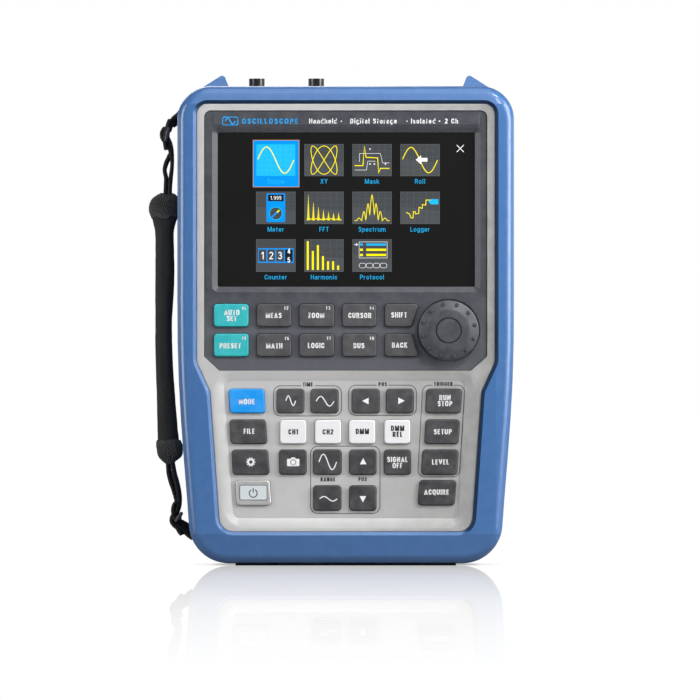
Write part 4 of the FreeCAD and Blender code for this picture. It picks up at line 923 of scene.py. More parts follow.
def draw_mask():
    trace([(0.0, 0.30), (0.24, 0.30), (0.28, 1.0), (0.33, 0.60), (0.66, 0.58), (0.69, 0.04),
           (0.74, 0.20), (1.0, 0.20)], 2, 0, 0.52)
    trace([(0.0, 0.14), (0.34, 0.14), (0.38, 0.46), (0.60, 0.46)], 2, 0, 0.2, "ui_white")
    trace([(0.14, 0.44), (0.14, 0.74), (0.40, 0.74), (0.74, 0.74), (0.80, 0.40), (1.0, 0.40)],
          2, 0, 0.2, "ui_white")
    # small arrowheads: place in the tile, direction
    for place, (dx, dz) in (((0.44, 0.92), (0.0, -1.0)), ((0.44, 0.34), (0.0, 1.0)),
                            ((0.55, 0.36), (1.0, 0.0)), ((0.90, 0.36), (-1.0, 0.0))):
        (x, z), = in_tile([place], 2, 0)
        screen.prism([(x + dx * 1.0, z + dz * 1.0), (x - dz * 0.6, z + dx * 0.6),
                      (x + dz * 0.6, z - dx * 0.6)], DRAW_Y - 0.01, THINNER, "ui_white")


def draw_roll():
    trace(sampled(one_cycle), 3, 0, 0.52)
    x0, x1, z0, z1 = tile_box(3, 0)
    cx, cz = (x0 + x1) / 2 + 1.0, (z0 + z1) / 2 + 0.2
    arrow = ((-3.6, 0.0), (-0.4, 2.7), (-0.4, 1.1), (3.4, 1.1), (3.4, -1.1), (-0.4, -1.1),
             (-0.4, -2.7))
    screen.prism([(cx + x, cz + z) for x, z in arrow], TOP_Y, THIN, "ui_white")


def draw_meter():
    x0, x1, z0, z1 = tile_box(0, 1)
    cx = (x0 + x1) / 2
    screen.prism(rounded_box(cx - 5.6, cx + 5.6, z0 + 1.0, z1 - 0.9, 0.8), GRID_Y, THIN,
                 "ui_blue")
    screen.prism(rounded_box(cx - 4.7, cx + 4.7, z1 - 5.6, z1 - 1.6, 0.3), DRAW_Y, THINNER,
                 "ui_black")
    screen.text("1.999", cx, z1 - 3.6, 2.3, DRAW_Y - 0.012, THINNER, "ui_white", bold=0.115)
    screen.prism(circle(cx, z0 + 6.2, 4.0), DRAW_Y, THINNER, "ui_sky")
    screen.prism(circle(cx, z0 + 6.2, 3.6), DRAW_Y - 0.012, THINNER, "ui_tile")
    screen.line([(cx - 2.3, z0 + 4.0), (cx + 1.0, z0 + 7.1)], 1.0, TOP_Y, THIN, "ui_blue")
    screen.line([(cx + 0.7, z0 + 6.8), (cx + 2.1, z0 + 8.1)], 0.9, TOP_Y, 0.03, "ui_yellow")


def draw_decaying_peaks():
    for i, height in enumerate((1.0, 0.70, 0.50, 0.38, 0.30, 0.26, 0.26)):
        x = 0.05 + i * 0.145
        trace([(x - 0.018, 0.05), (x, 0.05 + height * 0.92), (x + 0.018, 0.05)], 1, 1, 0.62)
    noise_floor = [(i / 24.0, 0.07 + 0.05 * ((i * 7) % 5) / 4.0) for i in range(1, 24)]
    trace([(0.0, 0.07)] + noise_floor + [(1.0, 0.06)], 1, 1, 0.45)


# Lobes of the spectrum: centre, height, half width.
LOBES = ((0.5, 1.0, 0.075), (0.385, 0.66, 0.062), (0.615, 0.66, 0.062), (0.265, 0.36, 0.058),
         (0.735, 0.36, 0.058), (0.13, 0.10, 0.07), (0.87, 0.10, 0.07))


def spectrum(t):
    level = max(height * max(0.0, 1 - abs((t - centre) / half) ** 1.6)
                for centre, height, half in LOBES)
    return t, 0.04 + 0.92 * level


def draw_logger():
    trace([(0.10, 0.34), (0.20, 0.28), (0.24, 0.14), (0.30, 0.14), (0.31, 0.36), (0.36, 0.36),
           (0.37, 0.28), (0.46, 0.30), (0.47, 0.52), (0.56, 0.48), (0.57, 0.62), (0.66, 0.60),
           (0.67, 0.78), (0.80, 0.78)], 3, 1, 0.46)
    _, x1, _, z1 = tile_box(3, 1)
    tag = ((6.6, 5.9), (5.2, 7.4), (0.7, 7.4), (0.7, 4.4), (5.2, 4.4))
    screen.prism([(x1 - x, z1 - z) for x, z in tag], DRAW_Y, THIN, "ui_sky")


def draw_counter():
    x0, x1, z0, z1 = tile_box(0, 2)
    middle = (z0 + z1) / 2
    text_y, text_thick = DRAW_Y - 0.012, 0.012
    screen.prism(corners(x0 + 1.0, x1 - 1.0, z0 + 5.2, z1 - 5.2), GRID_Y, THIN, "ui_blue")
    for i, digits in enumerate(("1", "2", "3", "45")):
        x = x0 + 3.7 + i * 5.25
        single = len(digits) == 1
        screen.prism(rounded_box(x - 2.3, x + 2.3, z0 + 5.9, z1 - 5.9, 0.3), DRAW_Y, THINNER,
                     "ui_tile" if single else "ui_black")
        if single:
            screen.text(digits, x, middle, 4.4, text_y, text_thick, "ui_white", bold=0.12)
        else:
            for digit, offset in zip(digits, (2.6, -2.6)):
                screen.text(digit, x, middle + offset, 3.0, text_y, text_thick, "ui_white",
                            bold=0.16)


def draw_harmonic():
    x0, x1, z0, z1 = tile_box(1, 2)
    for i, height in enumerate((1.0, 0.66, 0.86, 0.48, 0.30, 0.30, 0.15)):
        x = x0 + 1.3 + i * (x1 - x0 - 2.0) / 7.0
        top = z0 + 1.0 + (z1 - z0 - 2.0) * height
        screen.prism(corners(x, x + 1.15, z0 + 1.0, top), DRAW_Y, THIN, "ui_yellow")


def draw_protocol():
    x0, x1, z0, z1 = tile_box(2, 2)
    screen.line([(x0 + 1.0, z1 - 3.0), (x0 + 2.6, z1 - 3.0)], 0.4, DRAW_Y, THIN, "ui_white")
    screen.prism([(x0 + 3.3, z1 - 3.0), (x0 + 2.2, z1 - 2.1), (x0 + 2.2, z1 - 3.9)],
                 DRAW_Y, THIN, "ui_white")
    for i, mat in enumerate(("ui_cyan", "ui_yellow", "ui_yellow")):
        z = z1 - 3.0 - i * 3.1
        screen.line([(x0 + 4.4, z), (x0 + 6.2, z)], 1.3, DRAW_Y, THIN, mat)
        screen.line([(x0 + 8.2, z), (x1 - 3.2, z)], 1.3, DRAW_Y, THIN, mat)
    screen.line(corners(x0 + 3.9, x1 - 2.6, z1 - 1.4, z1 - 11.0), 0.2, DRAW_Y, 0.016,
                "ui_white", closed=True)
    for i in range(4):
        x = x0 + 3.9 + i * 4.2
        screen.line(rounded_box(x, x + 4.0, z0 + 2.2, z0 + 5.0, 1.3, 4), 0.2, DRAW_Y, THIN,
                    "ui_white", closed=True)


def draw_close_mark():
    cx, cz, arm = 68.5308, 249.4258, 2.1
    screen.line([(cx - arm, cz - arm), (cx + arm, cz + arm)], 0.42, GRID_Y, THIN, "ui_white")
    screen.line([(cx - arm, cz + arm), (cx + arm, cz - arm)], 0.42, GRID_Y - 0.004, THIN,
                "ui_white")


for tile in TILES:
    if tile == SELECTED:
        draw_selected_tile(*tile_box(*tile))
    else:
        draw_tile(*tile_box(*tile), gridded=tile not in PLAIN_TILES)
for words, (column, row) in zip(LABELS, TILES):
    screen.text(words, sum(COLUMNS[column]) / 2, ROWS[row][2], 2.8, GRID_Y, THIN,
                "ui_sky" if (column, row) == SELECTED else "ui_cyan",
                wide=1.14, bold=0.118, gap=0.17)
trace(sampled(one_cycle), 0, 0, 0.6, margin=0.9)
trace(sampled(two_by_three_figure, 180), 1, 0, 0.42, margin=0.8)
draw_mask()
draw_roll()
draw_meter()
draw_decaying_peaks()
trace(sampled(spectrum, 150), 2, 1, 0.42)
draw_logger()
draw_counter()
draw_harmonic()
draw_protocol()
draw_close_mark()
screen.build("screen_image", "root")

# ---------------------------------------------------------------- strap: shared tools
STRAP_Y = -3.0
KNIT_RIB = 1.3


def spline(p0, p1, p2, p3, t):
    """Catmull-Rom curve between p1 and p2."""
    return 0.5 * ((2 * p1) + (p2 - p0) * t + (2 * p0 - 5 * p1 + 4 * p2 - p3) * t * t
                  + (3 * p1 - p0 - 3 * p2 + p3) * t ** 3)


def neighbours(items, i):
    """The four items that shape the curve from item i to the next."""
    return items[max(i - 1, 0)], items[i], items[i + 1], items[min(i + 2, len(items) - 1)]


def strap_object(name, verts, faces, mat, attributes):
    mesh = bpy.data.meshes.new(name)
    mesh.from_pydata([tuple(c * MM for c in v) for v in verts], [], faces)
    mesh.validate()
    mesh.update()
    obj = bpy.data.objects.new(name, mesh)
    bpy.context.scene.collection.objects.link(obj)
    mesh.materials.append(MATS[mat])
    mesh.polygons.foreach_set("use_smooth", [True] * len(mesh.polygons))
    for key, values in attributes.items():
        mesh.attributes.new(key, "FLOAT", "POINT").data.foreach_set("value", values)
    bm = bmesh.new()
    bm.from_mesh(mesh)
    bmesh.ops.recalc_face_normals(bm, faces=bm.faces)
    bm.to_mesh(mesh)
    bm.free()
    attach(obj, "root")
    return obj


def ring_faces(rings, sides, base=0):
    faces = []
    for j in range(rings - 1):
        low, high = base + j * sides, base + (j + 1) * sides
        for i in range(sides):
            k = (i + 1) % sides
            faces.append([low + i, low + k, high + k, high + i])
    return faces


def loft(name, verts, run, across, sides, end_centres, mat):
    """Skin rings of equal count and close both ends with a fan."""
    rings = len(verts) // sides
    faces = ring_faces(rings, sides)
    for ring_index, centre in zip((0, rings - 1), end_centres):
        first = ring_index * sides
        verts.append(centre)
        run.append(run[first])
        across.append(0.0)
        for i in range(sides):
            face = [first + (i + 1) % sides, first + i, len(verts) - 1]
            faces.append(face if ring_index == 0 else face[::-1])
    return strap_object(name, verts, faces, mat, {"run": run, "across": across})


# ---------------------------------------------------------------- strap: sleeve and hoods
def stations(rows, step):
    """Rows of (z, x left, x right, half depth) as closely spaced (x, y, z, rx, ry)."""
    rows = [((left + right) / 2, STRAP_Y, z, (right - left) / 2, depth)
            for z, left, right, depth in rows]
    out = []
    for i in range(len(rows) - 1):
        count = max(1, int(round(abs(rows[i + 1][2] - rows[i][2]) / step)))
        for k in range(count):
            out.append(tuple(spline(*four, k / count) for four in zip(*neighbours(rows, i))))
    out.append(rows[-1])
    return out


def tube(name, rows, mat, sides, wrinkle, seed, knurl=0.0, rim=0.0, crown=0.0):
    """A closed loft of rounded sections.

    wrinkle is a share of the radius, knurl the height of the knitted ribs, rim the ragged
    height of one end (the last if positive, else the first) and crown the rise of the +X
    and -X sides near the first end.
    """
    power = 2.4  # squareness of the section
    verts, run, across = [], [], []
    total, last = 0.0, None
    count = len(rows)
    for j, (x, y, z, rx, ry) in enumerate(rows):
        centre = Vector((x, y, z))
        if last is not None:
            total += (centre - last).length
        last = centre
        mean = (rx + ry) / 2
        for i in range(sides):
            a = 2 * math.pi * i / sides
            ca, sa = math.cos(a), math.sin(a)
            square = (abs(ca) ** power + abs(sa) ** power) ** (-1.0 / power)
            swell = 1.0 + wrinkle * (
                noise.noise(Vector((ca * 1.6 + seed, sa * 1.6, total * 0.05)))
                + 0.5 * noise.noise(Vector((ca * 4 + seed, sa * 4, total * 0.22))))
            girth, lift = a * mean, 0.0
            if knurl:
                ribs = 2 * round(mean * math.pi / KNIT_RIB)
                girth = a * (ribs / 2) * KNIT_RIB / math.pi
                fine = abs(math.sin(ribs * a / 2 + math.pi * total / KNIT_RIB))
                coarse = abs(math.sin(ribs * a / 4 - math.pi * total / (KNIT_RIB * 2.2)))
                fade = min(1.0, 3.0 * min(j, count - 1 - j) / count + 0.2)
                lift = knurl * (fine - 0.5 + 0.25 * coarse) * fade
            height = z + crown * math.cos(2 * a) * max(0.0, 1 - j / (count * 0.45))
            if rim:
                end = count - 1 if rim > 0 else 0
                near = max(0.0, 1 - abs(j - end) / (count * 0.35))
                ragged = noise.noise(Vector((ca * 1.9, sa * 1.9, seed * 3.7))) * 1.6
                height += abs(rim) * near * ragged
                swell += 0.035 * near * noise.noise(Vector((ca * 3.1, sa * 3.1, seed)))
            verts.append((x + (rx * square * swell + lift) * ca,
                          y + (ry * square * swell + lift) * sa, height))
            run.append(total)
            across.append(girth)
    ends = [(row[0], row[1], sum(v[2] for v in ring_verts) / sides)
            for row, ring_verts in ((rows[0], verts[:sides]), (rows[-1], verts[-sides:]))]
    return loft(name, verts, run, across, sides, ends, mat)


# Padded sleeve from the top down: z, x left, x right.
SLEEVE_DEPTH = 6.4
SLEEVE = (
    (214.981, -116.4306, -100.8826), (209.898, -117.0884, -100.6434),
    (207.207, -116.311, -101.361), (204.217, -115.4738, -102.258),
    (200.629, -114.6964, -103.155), (195.845, -114.3974, -103.2746),
    (188.669, -114.3376, -103.0952), (181.493, -114.3376, -102.9158),
    (170.729, -114.3376, -102.9756), (158.769, -114.3974, -103.5138),
    (146.809, -114.3376, -104.2314), (134.849, -114.2778, -104.351),
    (122.889, -114.0984, -103.9922), (110.929, -113.8592, -103.2746),
    (98.969, -113.5602, -102.4374), (88.205, -113.321, -101.5404),
    (79.833, -113.0818, -100.7032), (74.451, -112.8426, -100.0454),
    (70.863, -112.6034, -99.4474),
)
# Knitted hoods over the ends of the sleeve: z, x left, x right, half depth.
HOOD_UPPER = (
    (222.6354, -110.7496, -104.4706, 3.2), (222.0374, -112.125, -102.9756, 4.6),
    (220.961, -114.0386, -101.7198, 5.6), (219.167, -116.0718, -100.763, 6.4),
    (217.074, -117.2678, -100.5238, 6.8), (214.981, -117.7462, -100.464, 6.9),
    (212.589, -117.6266, -100.464, 6.9), (210.496, -117.0286, -100.5238, 6.9),
    (208.702, -116.4306, -100.763, 6.8),
)
HOOD_LOWER = (
    (74.6902, -113.4406, -99.4474, 6.8), (73.255, -113.5004, -98.969, 6.9),
    (71.461, -113.2612, -98.5504, 6.9), (69.069, -112.723, -98.371, 6.9),
    (66.677, -112.4838, -98.4308, 6.7), (64.584, -111.7662, -99.3278, 6.2),
    (62.491, -110.2114, -101.7198, 5.4), (60.4578, -108.0586, -104.1716, 4.0),
)
KNIT = dict(mat="strap_knit", sides=200, wrinkle=0.05, knurl=0.95)
sleeve = tube("strap_sleeve", stations([(*row, SLEEVE_DEPTH) for row in SLEEVE], 1.2),
              "strap_fabric", sides=72, wrinkle=0.045, seed=3.1)
tube("strap_hood_upper", stations(HOOD_UPPER, 0.22), seed=1.0, rim=1.3, crown=0.7, **KNIT)
tube("strap_hood_lower", stations(HOOD_LOWER, 0.22), seed=5.0, rim=-0.9, **KNIT)


# ---------------------------------------------------------------- strap: webbing
def ribbon_path(rows, width, thick, depth):
    """Middle points, and the turn about the run that shows the given edges at the front."""
    middles = [Vector(((x0 + x1) / 2, 0, (z0 + z1) / 2)) for x0, z0, x1, z1 in rows]
    points, turns = [], []
    for i, (x0, z0, x1, z1) in enumerate(rows):
        ahead, behind = middles[min(i + 1, len(rows) - 1)], middles[max(i - 1, 0)]
        along = (ahead - behind).normalized()
        edge = Vector((x1 - x0, 0, z1 - z0))
        seen = (edge - along * edge.dot(along)).length
        turn = math.asin(min(1.0, seen / math.hypot(width, thick))) - math.atan2(thick, width)
        points.append(Vector((middles[i].x, STRAP_Y + depth, middles[i].z)))
        turns.append(max(0.0, turn))
    return points, turns


def resampled(points, turns, step=0.2):
    """Centres, turns and distances along the smooth path, a step apart."""
    fine = []
    for i in range(len(points) - 1):
        for k in range(40):
            t = k / 40
            turn = turns[i] + (turns[i + 1] - turns[i]) * (t * t * (3 - 2 * t))
            fine.append((spline(*neighbours(points, i), t), turn))
    fine.append((points[-1], turns[-1]))
    out = [(*fine[0], 0.0)]
    travelled, wanted = 0.0, step
    for (before, _), (point, turn) in zip(fine, fine[1:]):
        travelled += (point - before).length
        if travelled >= wanted:
            out.append((point, turn, travelled))
            wanted = travelled + step
    return out


def ribbon_profile(width, thick):
    """Section of the webbing: (across, through, whether on a narrow edge)."""
    half, half_thick = width / 2, thick / 2
    profile = []
    for side in (1, -1):
        for k in range(9):
            u = side * (-half + 2 * half * k / 8)
            profile.append((u * 0.96, side * half_thick * (1 - 0.10 * (u / half) ** 4), False))
        profile += [(side * half, side * half_thick * 0.45, True),
                    (side * half * 1.02, 0.0, True),
                    (side * half, -side * half_thick * 0.45, True)]
    return profile


def ribbon(name, width, thick, depth, rows):
    """Ribbed webbing swept along its two edges as seen from the front."""
    rib_height, rib_pitch = 0.11, 1.0
    centres = resampled(*ribbon_path(rows, width, thick, depth))
    profile = ribbon_profile(width, thick)
    verts, run, across = [], [], []
    for i, (centre, turn, distance) in enumerate(centres):
        ahead, behind = centres[min(i + 1, len(centres) - 1)][0], centres[max(i - 1, 0)][0]
        along = (ahead - behind).normalized()
        side = Vector((0, 1, 0))
        side = (side - along * side.dot(along)).normalized()
        up = along.cross(side)
        flat = side * math.cos(turn) + up * math.sin(turn)
        normal = up * math.cos(turn) - side * math.sin(turn)
        for u, v, on_edge in profile:
            rib = rib_height * math.sin(2 * math.pi * (distance + abs(u) * 0.55) / rib_pitch)
            du = rib * (1 if u > 0 else -1) if on_edge else 0.0
            dv = 0.0 if on_edge else rib * (1 if v > 0 else -1)
            verts.append(tuple(centre + flat * (u + du) + normal * (v + dv)))
            run.append(distance)
            across.append(u)
    ends = [tuple(centres[0][0]), tuple(centres[-1][0])]
    return loft(name, verts, run, across, len(profile), ends, "strap_web")


# Piece: width, thickness, offset in y, and along its run the two edges (x, z, x, z).
RIBBONS = {
    "upper_end": (10.0, 2.0, 1.2, (
        (-95.5006, 277.173, -95.5006, 268.203), (-97.6534, 275.379, -97.8926, 266.2894),
        (-99.567, 273.4056, -100.0454, 264.4954), (-101.4806, 271.8508, -101.959, 262.5818),
        (-103.155, 270.2362, -103.8726, 260.9074), (-104.4706, 268.203, -105.3676, 259.7114))),
    "upper_fold": (7.0, 1.9, -1.8, (
        (-106.743, 267.6648, -104.1118, 267.4256), (-107.5802, 266.0502, -103.5138, 265.5718),
        (-108.2978, 263.8974, -103.6334, 263.0602), (-108.8958, 261.8642, -104.351, 260.6682),
        (-109.434, 259.7114, -106.145, 258.7546), (-109.7928, 256.542, -106.743, 256.243),
        (-109.8526, 253.253, -106.743, 253.1334), (-109.4938, 250.861, -106.6832, 250.7414),
        (-108.9556, 248.8278, -106.743, 248.7082))),
    "upper_tail": (6.4, 1.9, 1.6, (
        (-109.3742, 263.0602, -107.4606, 262.4622), (-110.8094, 261.625, -108.0586, 260.7878),
        (-111.7064, 259.5918, -108.537, 258.9938), (-111.7662, 257.439, -108.537, 257.0802),
        (-111.0486, 255.2862, -108.2978, 255.4058), (-109.8526, 253.6118, -107.8194, 254.2098))),
    "upper_inner": (7.6, 1.7, 0.0, (
        (-108.8958, 258.7546, -106.5038, 258.2762), (-108.0586, 256.0038, -105.4274, 256.243),
        (-107.341, 252.655, -103.9922, 252.8942), (-106.8626, 249.3062, -103.2746, 249.4258),
        (-106.3842, 246.3162, -103.0354, 246.4358), (-105.6666, 243.4458, -103.0354, 243.4458),
        (-105.4274, 240.4558, -103.0952, 240.5754), (-105.6666, 237.4658, -103.2746, 237.4658),
        (-106.145, 234.4758, -103.5138, 234.4758), (-106.6234, 230.7682, -103.8726, 230.7682),
        (-106.8626, 226.1038, -104.2314, 226.1038), (-106.9224, 220.363, -104.4706, 220.363))),
    "upper_outer": (7.6, 1.7, 0.4, (
        (-106.743, 246.9142, -104.7098, 246.3162), (-107.8194, 244.5222, -105.1882, 243.5654),
        (-109.0154, 242.1302, -106.0254, 241.293), (-109.733, 239.6186, -106.8626, 239.3794),
        (-110.032, 236.8678, -107.4606, 236.7482), (-109.733, 234.4758, -106.9822, 234.3562),
        (-109.2546, 231.725, -106.3842, 231.725), (-109.3742, 227.6586, -106.5038, 227.6586),
        (-109.6732, 220.363, -106.6832, 220.363))),
    "lower_outer": (7.6, 1.7, 1.6, (
        (-108.0586, 61.893, -105.4274, 61.893), (-108.0586, 58.305, -105.0686, 58.5442),
        (-107.6998, 54.119, -104.351, 54.717), (-106.5038, 49.335, -103.155, 50.2918),
        (-104.7098, 44.3118, -101.959, 45.2686), (-103.2746, 39.4082, -100.763, 40.1258),
        (-102.557, 36.777, -100.165, 37.2554))),
    "lower_inner": (7.6, 1.7, 0.0, (
        (-105.9058, 63.3282, -102.7364, 62.8498), (-105.1882, 58.6638, -102.0786, 58.903),
        (-104.4706, 54.4778, -101.3012, 54.9562), (-103.3942, 50.2918, -100.165, 50.8898),
        (-102.4374, 46.1058, -99.0886, 46.5842), (-101.7796, 41.8002, -98.371, 41.9198),
        (-101.5404, 38.0926, -98.2514, 37.6142), (-102.1982, 34.7438, -98.8494, 33.787),
        (-103.0354, 31.7538, -100.0454, 30.5578), (-103.6334, 29.1226, -101.0022, 28.0462))),
    "lower_loop": (7.0, 1.8, -1.2, (
        (-102.7962, 38.2122, -100.763, 37.4946), (-104.2314, 36.4182, -101.6002, 35.3418),
        (-104.949, 33.787, -102.0786, 33.189), (-104.949, 31.0362, -101.8394, 31.0362),
        (-104.351, 28.405, -101.4806, 29.003), (-103.0354, 26.2522, -100.6434, 27.3286))),
    "lower_tail": (7.4, 1.9, -0.6, (
        (-104.7098, 30.4382, -101.6002, 29.601), (-105.7862, 28.5246, -101.8394, 27.6874),
        (-106.0852, 26.2522, -101.4806, 26.013), (-104.949, 23.621, -100.2846, 24.5778),
        (-102.9158, 21.827, -98.4906, 23.3818), (-101.2414, 19.3154, -97.175, 20.8702),
        (-99.567, 17.1626, -96.8162, 18.239))),
    "lower_end": (9.6, 2.0, 1.4, (
        (-100.8826, 28.0462, -102.3178, 23.3818), (-98.1318, 27.3286, -99.9258, 20.8702),
        (-95.1418, 25.7738, -97.2946, 18.1194), (-92.5106, 22.7838, -94.5438, 15.4882),
        (-89.6402, 19.1958, -91.5538, 13.455))),
}
webbing = {piece: ribbon("strap_web_" + piece, *sizes) for piece, sizes in RIBBONS.items()}


# ---------------------------------------------------------------- strap: buckles
def buckle(name, x, z, tall, bow, tilt):
    """A ladder buckle: two uprights and three bars, the middle one set off by bow."""
    half_width, overhang, radius = 5.4, 0.6, 1.1
    steps, sides = 10, 12
    verts, faces = [], []
    centre = Vector((x, STRAP_Y, z))
    angle = math.radians(tilt)
    sideways = Vector((math.cos(angle), 0, math.sin(angle)))
    up = Vector((-math.sin(angle), 0, math.cos(angle)))

    def add_rod(start, end, mid_radius):
        base = len(verts)
        span = end - start
        along = span.normalized()
        first = along.cross(Vector((0.31, 0.9, 0.2))).normalized()
        second = along.cross(first)
        for j in range(steps + 1):
            r = radius + (mid_radius - radius) * math.sin(math.pi * j / steps)
            if j in (0, steps):
                r *= 0.55
            point = start + span * (j / steps)
            for i in range(sides):
                a = 2 * math.pi * i / sides
                verts.append(tuple(point + first * math.cos(a) * r + second * math.sin(a) * r))
        faces.extend(ring_faces(steps + 1, sides, base))
        faces.append([base + i for i in range(sides)][::-1])
        faces.append([base + steps * sides + i for i in range(sides)])

    for sign in (-1, 1):
        foot = centre + Vector((0, sign * half_width, 0))
        add_rod(foot - up * tall / 2, foot + up * tall / 2, 1.25)
    reach = Vector((0, half_width + overhang, 0))
    for share, offset in ((-0.5, 0.0), (0.0, bow), (0.5, 0.0)):
        middle = centre + up * (tall * share) + sideways * offset
        add_rod(middle - reach, middle + reach, 1.2)
    return strap_object(name, verts, faces, "strap_plastic", {})


buckle_upper = buckle("strap_buckle_upper", -107.2214, 258.2762, tall=7.0, bow=0.44, tilt=-12.0)
buckle("strap_buckle_lower", -100.2846, 28.5246, tall=5.0, bow=0.792, tilt=-35.0)
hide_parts("strap_grip")
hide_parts("strap_webbing")
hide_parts("strap_buckles")


# ---------------------------------------------------------------- shading of the CAD pieces
def edge_group():
    """Geometry nodes that shade smooth but keep edges above 26 degrees sharp."""
    group = bpy.data.node_groups.new("mark_edges", "GeometryNodeTree")
    for way in ("INPUT", "OUTPUT"):
        group.interface.new_socket("Geometry", in_out=way, socket_type="NodeSocketGeometry")
    group_in = group.nodes.new("NodeGroupInput")
    group_out = group.nodes.new("NodeGroupOutput")
    smooth = group.nodes.new("GeometryNodeSetShadeSmooth")
    smooth.domain = "FACE"
    smooth.inputs["Shade Smooth"].default_value = True
    sharp = group.nodes.new("GeometryNodeSetShadeSmooth")
    sharp.domain = "EDGE"
    sharp.inputs["Shade Smooth"].default_value = False
    angle = group.nodes.new("GeometryNodeInputMeshEdgeAngle")
    steep = group.nodes.new("FunctionNodeCompare")
    steep.data_type = "FLOAT"
    steep.operation = "GREATER_THAN"
    steep.inputs[1].default_value = math.radians(26)
    for source, target in ((group_in.outputs[0], smooth.inputs["Geometry"]),
                           (smooth.outputs[0], sharp.inputs["Geometry"]),
                           (angle.outputs["Unsigned Angle"], steep.inputs[0]),
                           (steep.outputs[0], sharp.inputs["Selection"]),
                           (sharp.outputs[0], group_out.inputs[0])):
        group.links.new(source, target)
    return group


mark_edges = edge_group()
for part in NODES.values():
    for attribute in ("custom_normal", "sharp_edge", "sharp_face"):
        if attribute in part.data.attributes:
            part.data.attributes.remove(part.data.attributes[attribute])
    weld = part.modifiers.new("weld", "WELD")
    weld.merge_threshold = 1e-6
    part.modifiers.new("edges", "NODES").node_group = mark_edges
    flats = part.modifiers.new("flats", "WEIGHTED_NORMAL")
    flats.keep_sharp = True
    flats.mode = "FACE_AREA"
    flats.weight = 90

# ---------------------------------------------------------------- floor
# Strength of the mirror image: position along the ramp (y from -2.2 to 0 m), strength.
MIRROR_ENDS = ((0.04, 0.0), (1.0, 0.50))
MIRROR_STOPS = ((0.11, 0.02), (0.26, 0.058), (0.436, 0.11), (0.592, 0.18), (0.708, 0.26),
                (0.836, 0.36))


def floor_material():
    """White to the camera with contact shade and a fading mirror image; grey to the light."""
    nodes, output = new_material("floor_gloss")
    geometry = nodes.add("NewGeometry").outputs
    place = nodes.xyz(geometry["Position"])
    mirror = nodes.add("ValToRGB", {0: nodes.remap(place["Y"], (-2.2, 0.0), (0.0, 1.0))})
    elements = mirror.color_ramp.elements
    for element, (position, level) in zip(elements, MIRROR_ENDS):
        element.position = position
        element.color = (level, level, level, 1)
    for position, level in MIRROR_STOPS:
        elements.new(position).color = (level, level, level, 1)
    speckle = nodes.noise(geometry["Position"], scale=35.0, detail=3.0)
    incoming = nodes.xyz(geometry["Incoming"])
    factor = mirror.outputs[0]
    for value, start, end in ((speckle, (0.3, 0.96), (0.7, 1.02)),
                              (incoming["Z"], (0.07, 1.0), (0.11, 0.0)),
                              (place["Y"], (0.0, 1.0), (0.05, 0.0)),
                              (incoming["Y"], (-0.90, 1.0), (-0.55, 0.0))):
        factor = nodes.math("MULTIPLY", factor, nodes.remap(value, start, end))

    def occlusion(distance, start, end):
        node = nodes.add("AmbientOcclusion", {"Distance": distance}, samples=8)
        return nodes.remap(node.outputs["AO"], start, end)

    wide = nodes.mix(occlusion(0.012, (0.30, 0.0), (0.95, 1.0)),
                     (0.78, 0.78, 0.785), (1.02, 1.02, 1.02))
    shade = nodes.mix(occlusion(0.005, (0.10, 0.0), (0.60, 1.0)), (0.02, 0.02, 0.022), wide)
    white = nodes.add("Emission", {"Color": shade})
    gloss = nodes.add("BsdfGlossy", {"Roughness": 0.0, "Color": (1, 1, 1)})
    seen = nodes.add("MixShader", {0: factor, 1: white.outputs[0], 2: gloss.outputs[0]})
    grey = nodes.add("BsdfDiffuse", {"Color": (0.30, 0.30, 0.30)})
    camera_ray = nodes.add("LightPath").outputs["Is Camera Ray"]
    both = nodes.add("MixShader", {0: camera_ray, 1: grey.outputs[0], 2: seen.outputs[0]})
    nodes.feed(output.inputs[0], both.outputs[0])


bpy.ops.mesh.primitive_plane_add(size=30, location=(0, 0, 0))
floor = bpy.context.object
floor.name = "floor"
floor_material()
floor.data.materials.append(MATS["floor_gloss"])

# ---------------------------------------------------------------- world
AMBIENT = 0.05


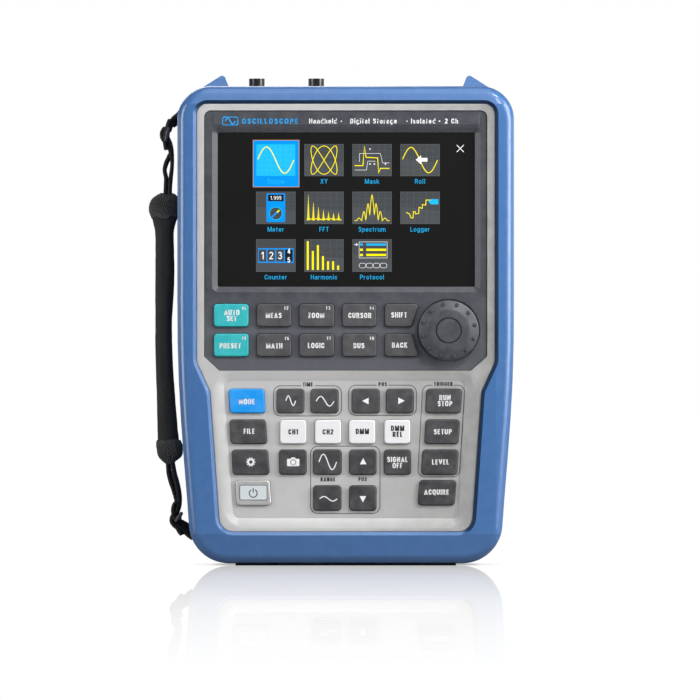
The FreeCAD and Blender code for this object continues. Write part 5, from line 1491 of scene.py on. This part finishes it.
def build_world():
    """White to the camera; otherwise dim, with a bright band low on one side."""
    world = bpy.data.worlds.new("studio")
    bpy.context.scene.world = world
    world.use_nodes = True
    nodes = Nodes(world.node_tree)
    output = nodes.add("OutputWorld")
    light = nodes.add("Background", {0: (1, 1, 1), 1: 0.20})
    backdrop = nodes.add("Background", {0: (1, 1, 1), 1: 1.0})
    incoming = nodes.xyz(nodes.add("NewGeometry").outputs["Incoming"])
    low = nodes.remap(nodes.math("ABSOLUTE", incoming["Z"]), (0.05, 1.0), (0.12, 0.0))
    back = nodes.remap(incoming["Y"], (0.0, 1.0), (0.35, 0.0))
    band = nodes.math("MULTIPLY", nodes.math("MULTIPLY", low, back), 1.0 - AMBIENT)
    nodes.feed(light.inputs[1], nodes.math("ADD", band, AMBIENT))
    camera_ray = nodes.add("LightPath").outputs["Is Camera Ray"]
    both = nodes.add("MixShader", {0: camera_ray, 1: light.outputs[0], 2: backdrop.outputs[0]})
    nodes.feed(output.inputs[0], both.outputs[0])


build_world()


# ---------------------------------------------------------------- lights
def area_light(name, location, target, width, height, power):
    light = bpy.data.lights.new(name, "AREA")
    light.shape = "RECTANGLE"
    light.size = width
    light.size_y = height
    light.energy = power
    obj = bpy.data.objects.new(name, light)
    bpy.context.scene.collection.objects.link(obj)
    obj.location = location
    aim = Vector(target) - Vector(location)
    obj.rotation_euler = aim.to_track_quat("-Z", "Y").to_euler()
    obj.visible_camera = False


area_light("right", (1.0, -0.45, 0.50), (0, 0, 0.17), width=0.46, height=0.90, power=15)
area_light("key", (0.46, -0.58, 0.86), (0, 0, 0.15), width=0.07, height=0.07, power=4.2)
area_light("top", (0.05, -0.85, 0.95), (0, 0, 0.22), width=0.7, height=0.30, power=2.2)
area_light("above", (0.05, -0.16, 1.15), (0, 0, 0.25), width=0.8, height=0.30, power=2.2)
area_light("behind", (-0.35, 1.30, 0.90), (0, 0, 0.15), width=0.8, height=0.8, power=5)
area_light("left", (-0.96, -0.50, 0.25), (-0.1, -0.02, 0.15), width=0.42, height=0.9, power=7.6)

# ---------------------------------------------------------------- camera
VIEW_X, VIEW_Z = 2.5714, 128.869
VIEW_WIDTH = 418.6  # width seen at the front plane
DISTANCE = 6.0  # from the front plane, metres
FRONT_PLANE = -0.030
SENSOR = 36.0

camera = bpy.data.cameras.new("cam")
camera_object = bpy.data.objects.new("cam", camera)
bpy.context.scene.collection.objects.link(camera_object)
camera_object.location = (VIEW_X * MM, FRONT_PLANE - DISTANCE, VIEW_Z * MM)
camera_object.rotation_euler = (math.radians(90), 0, 0)
camera.sensor_width = SENSOR
camera.lens = SENSOR * DISTANCE / (VIEW_WIDTH * MM)
camera.clip_end = 60.0
bpy.context.scene.camera = camera_object
bpy.context.scene.view_settings.view_transform = "Standard"
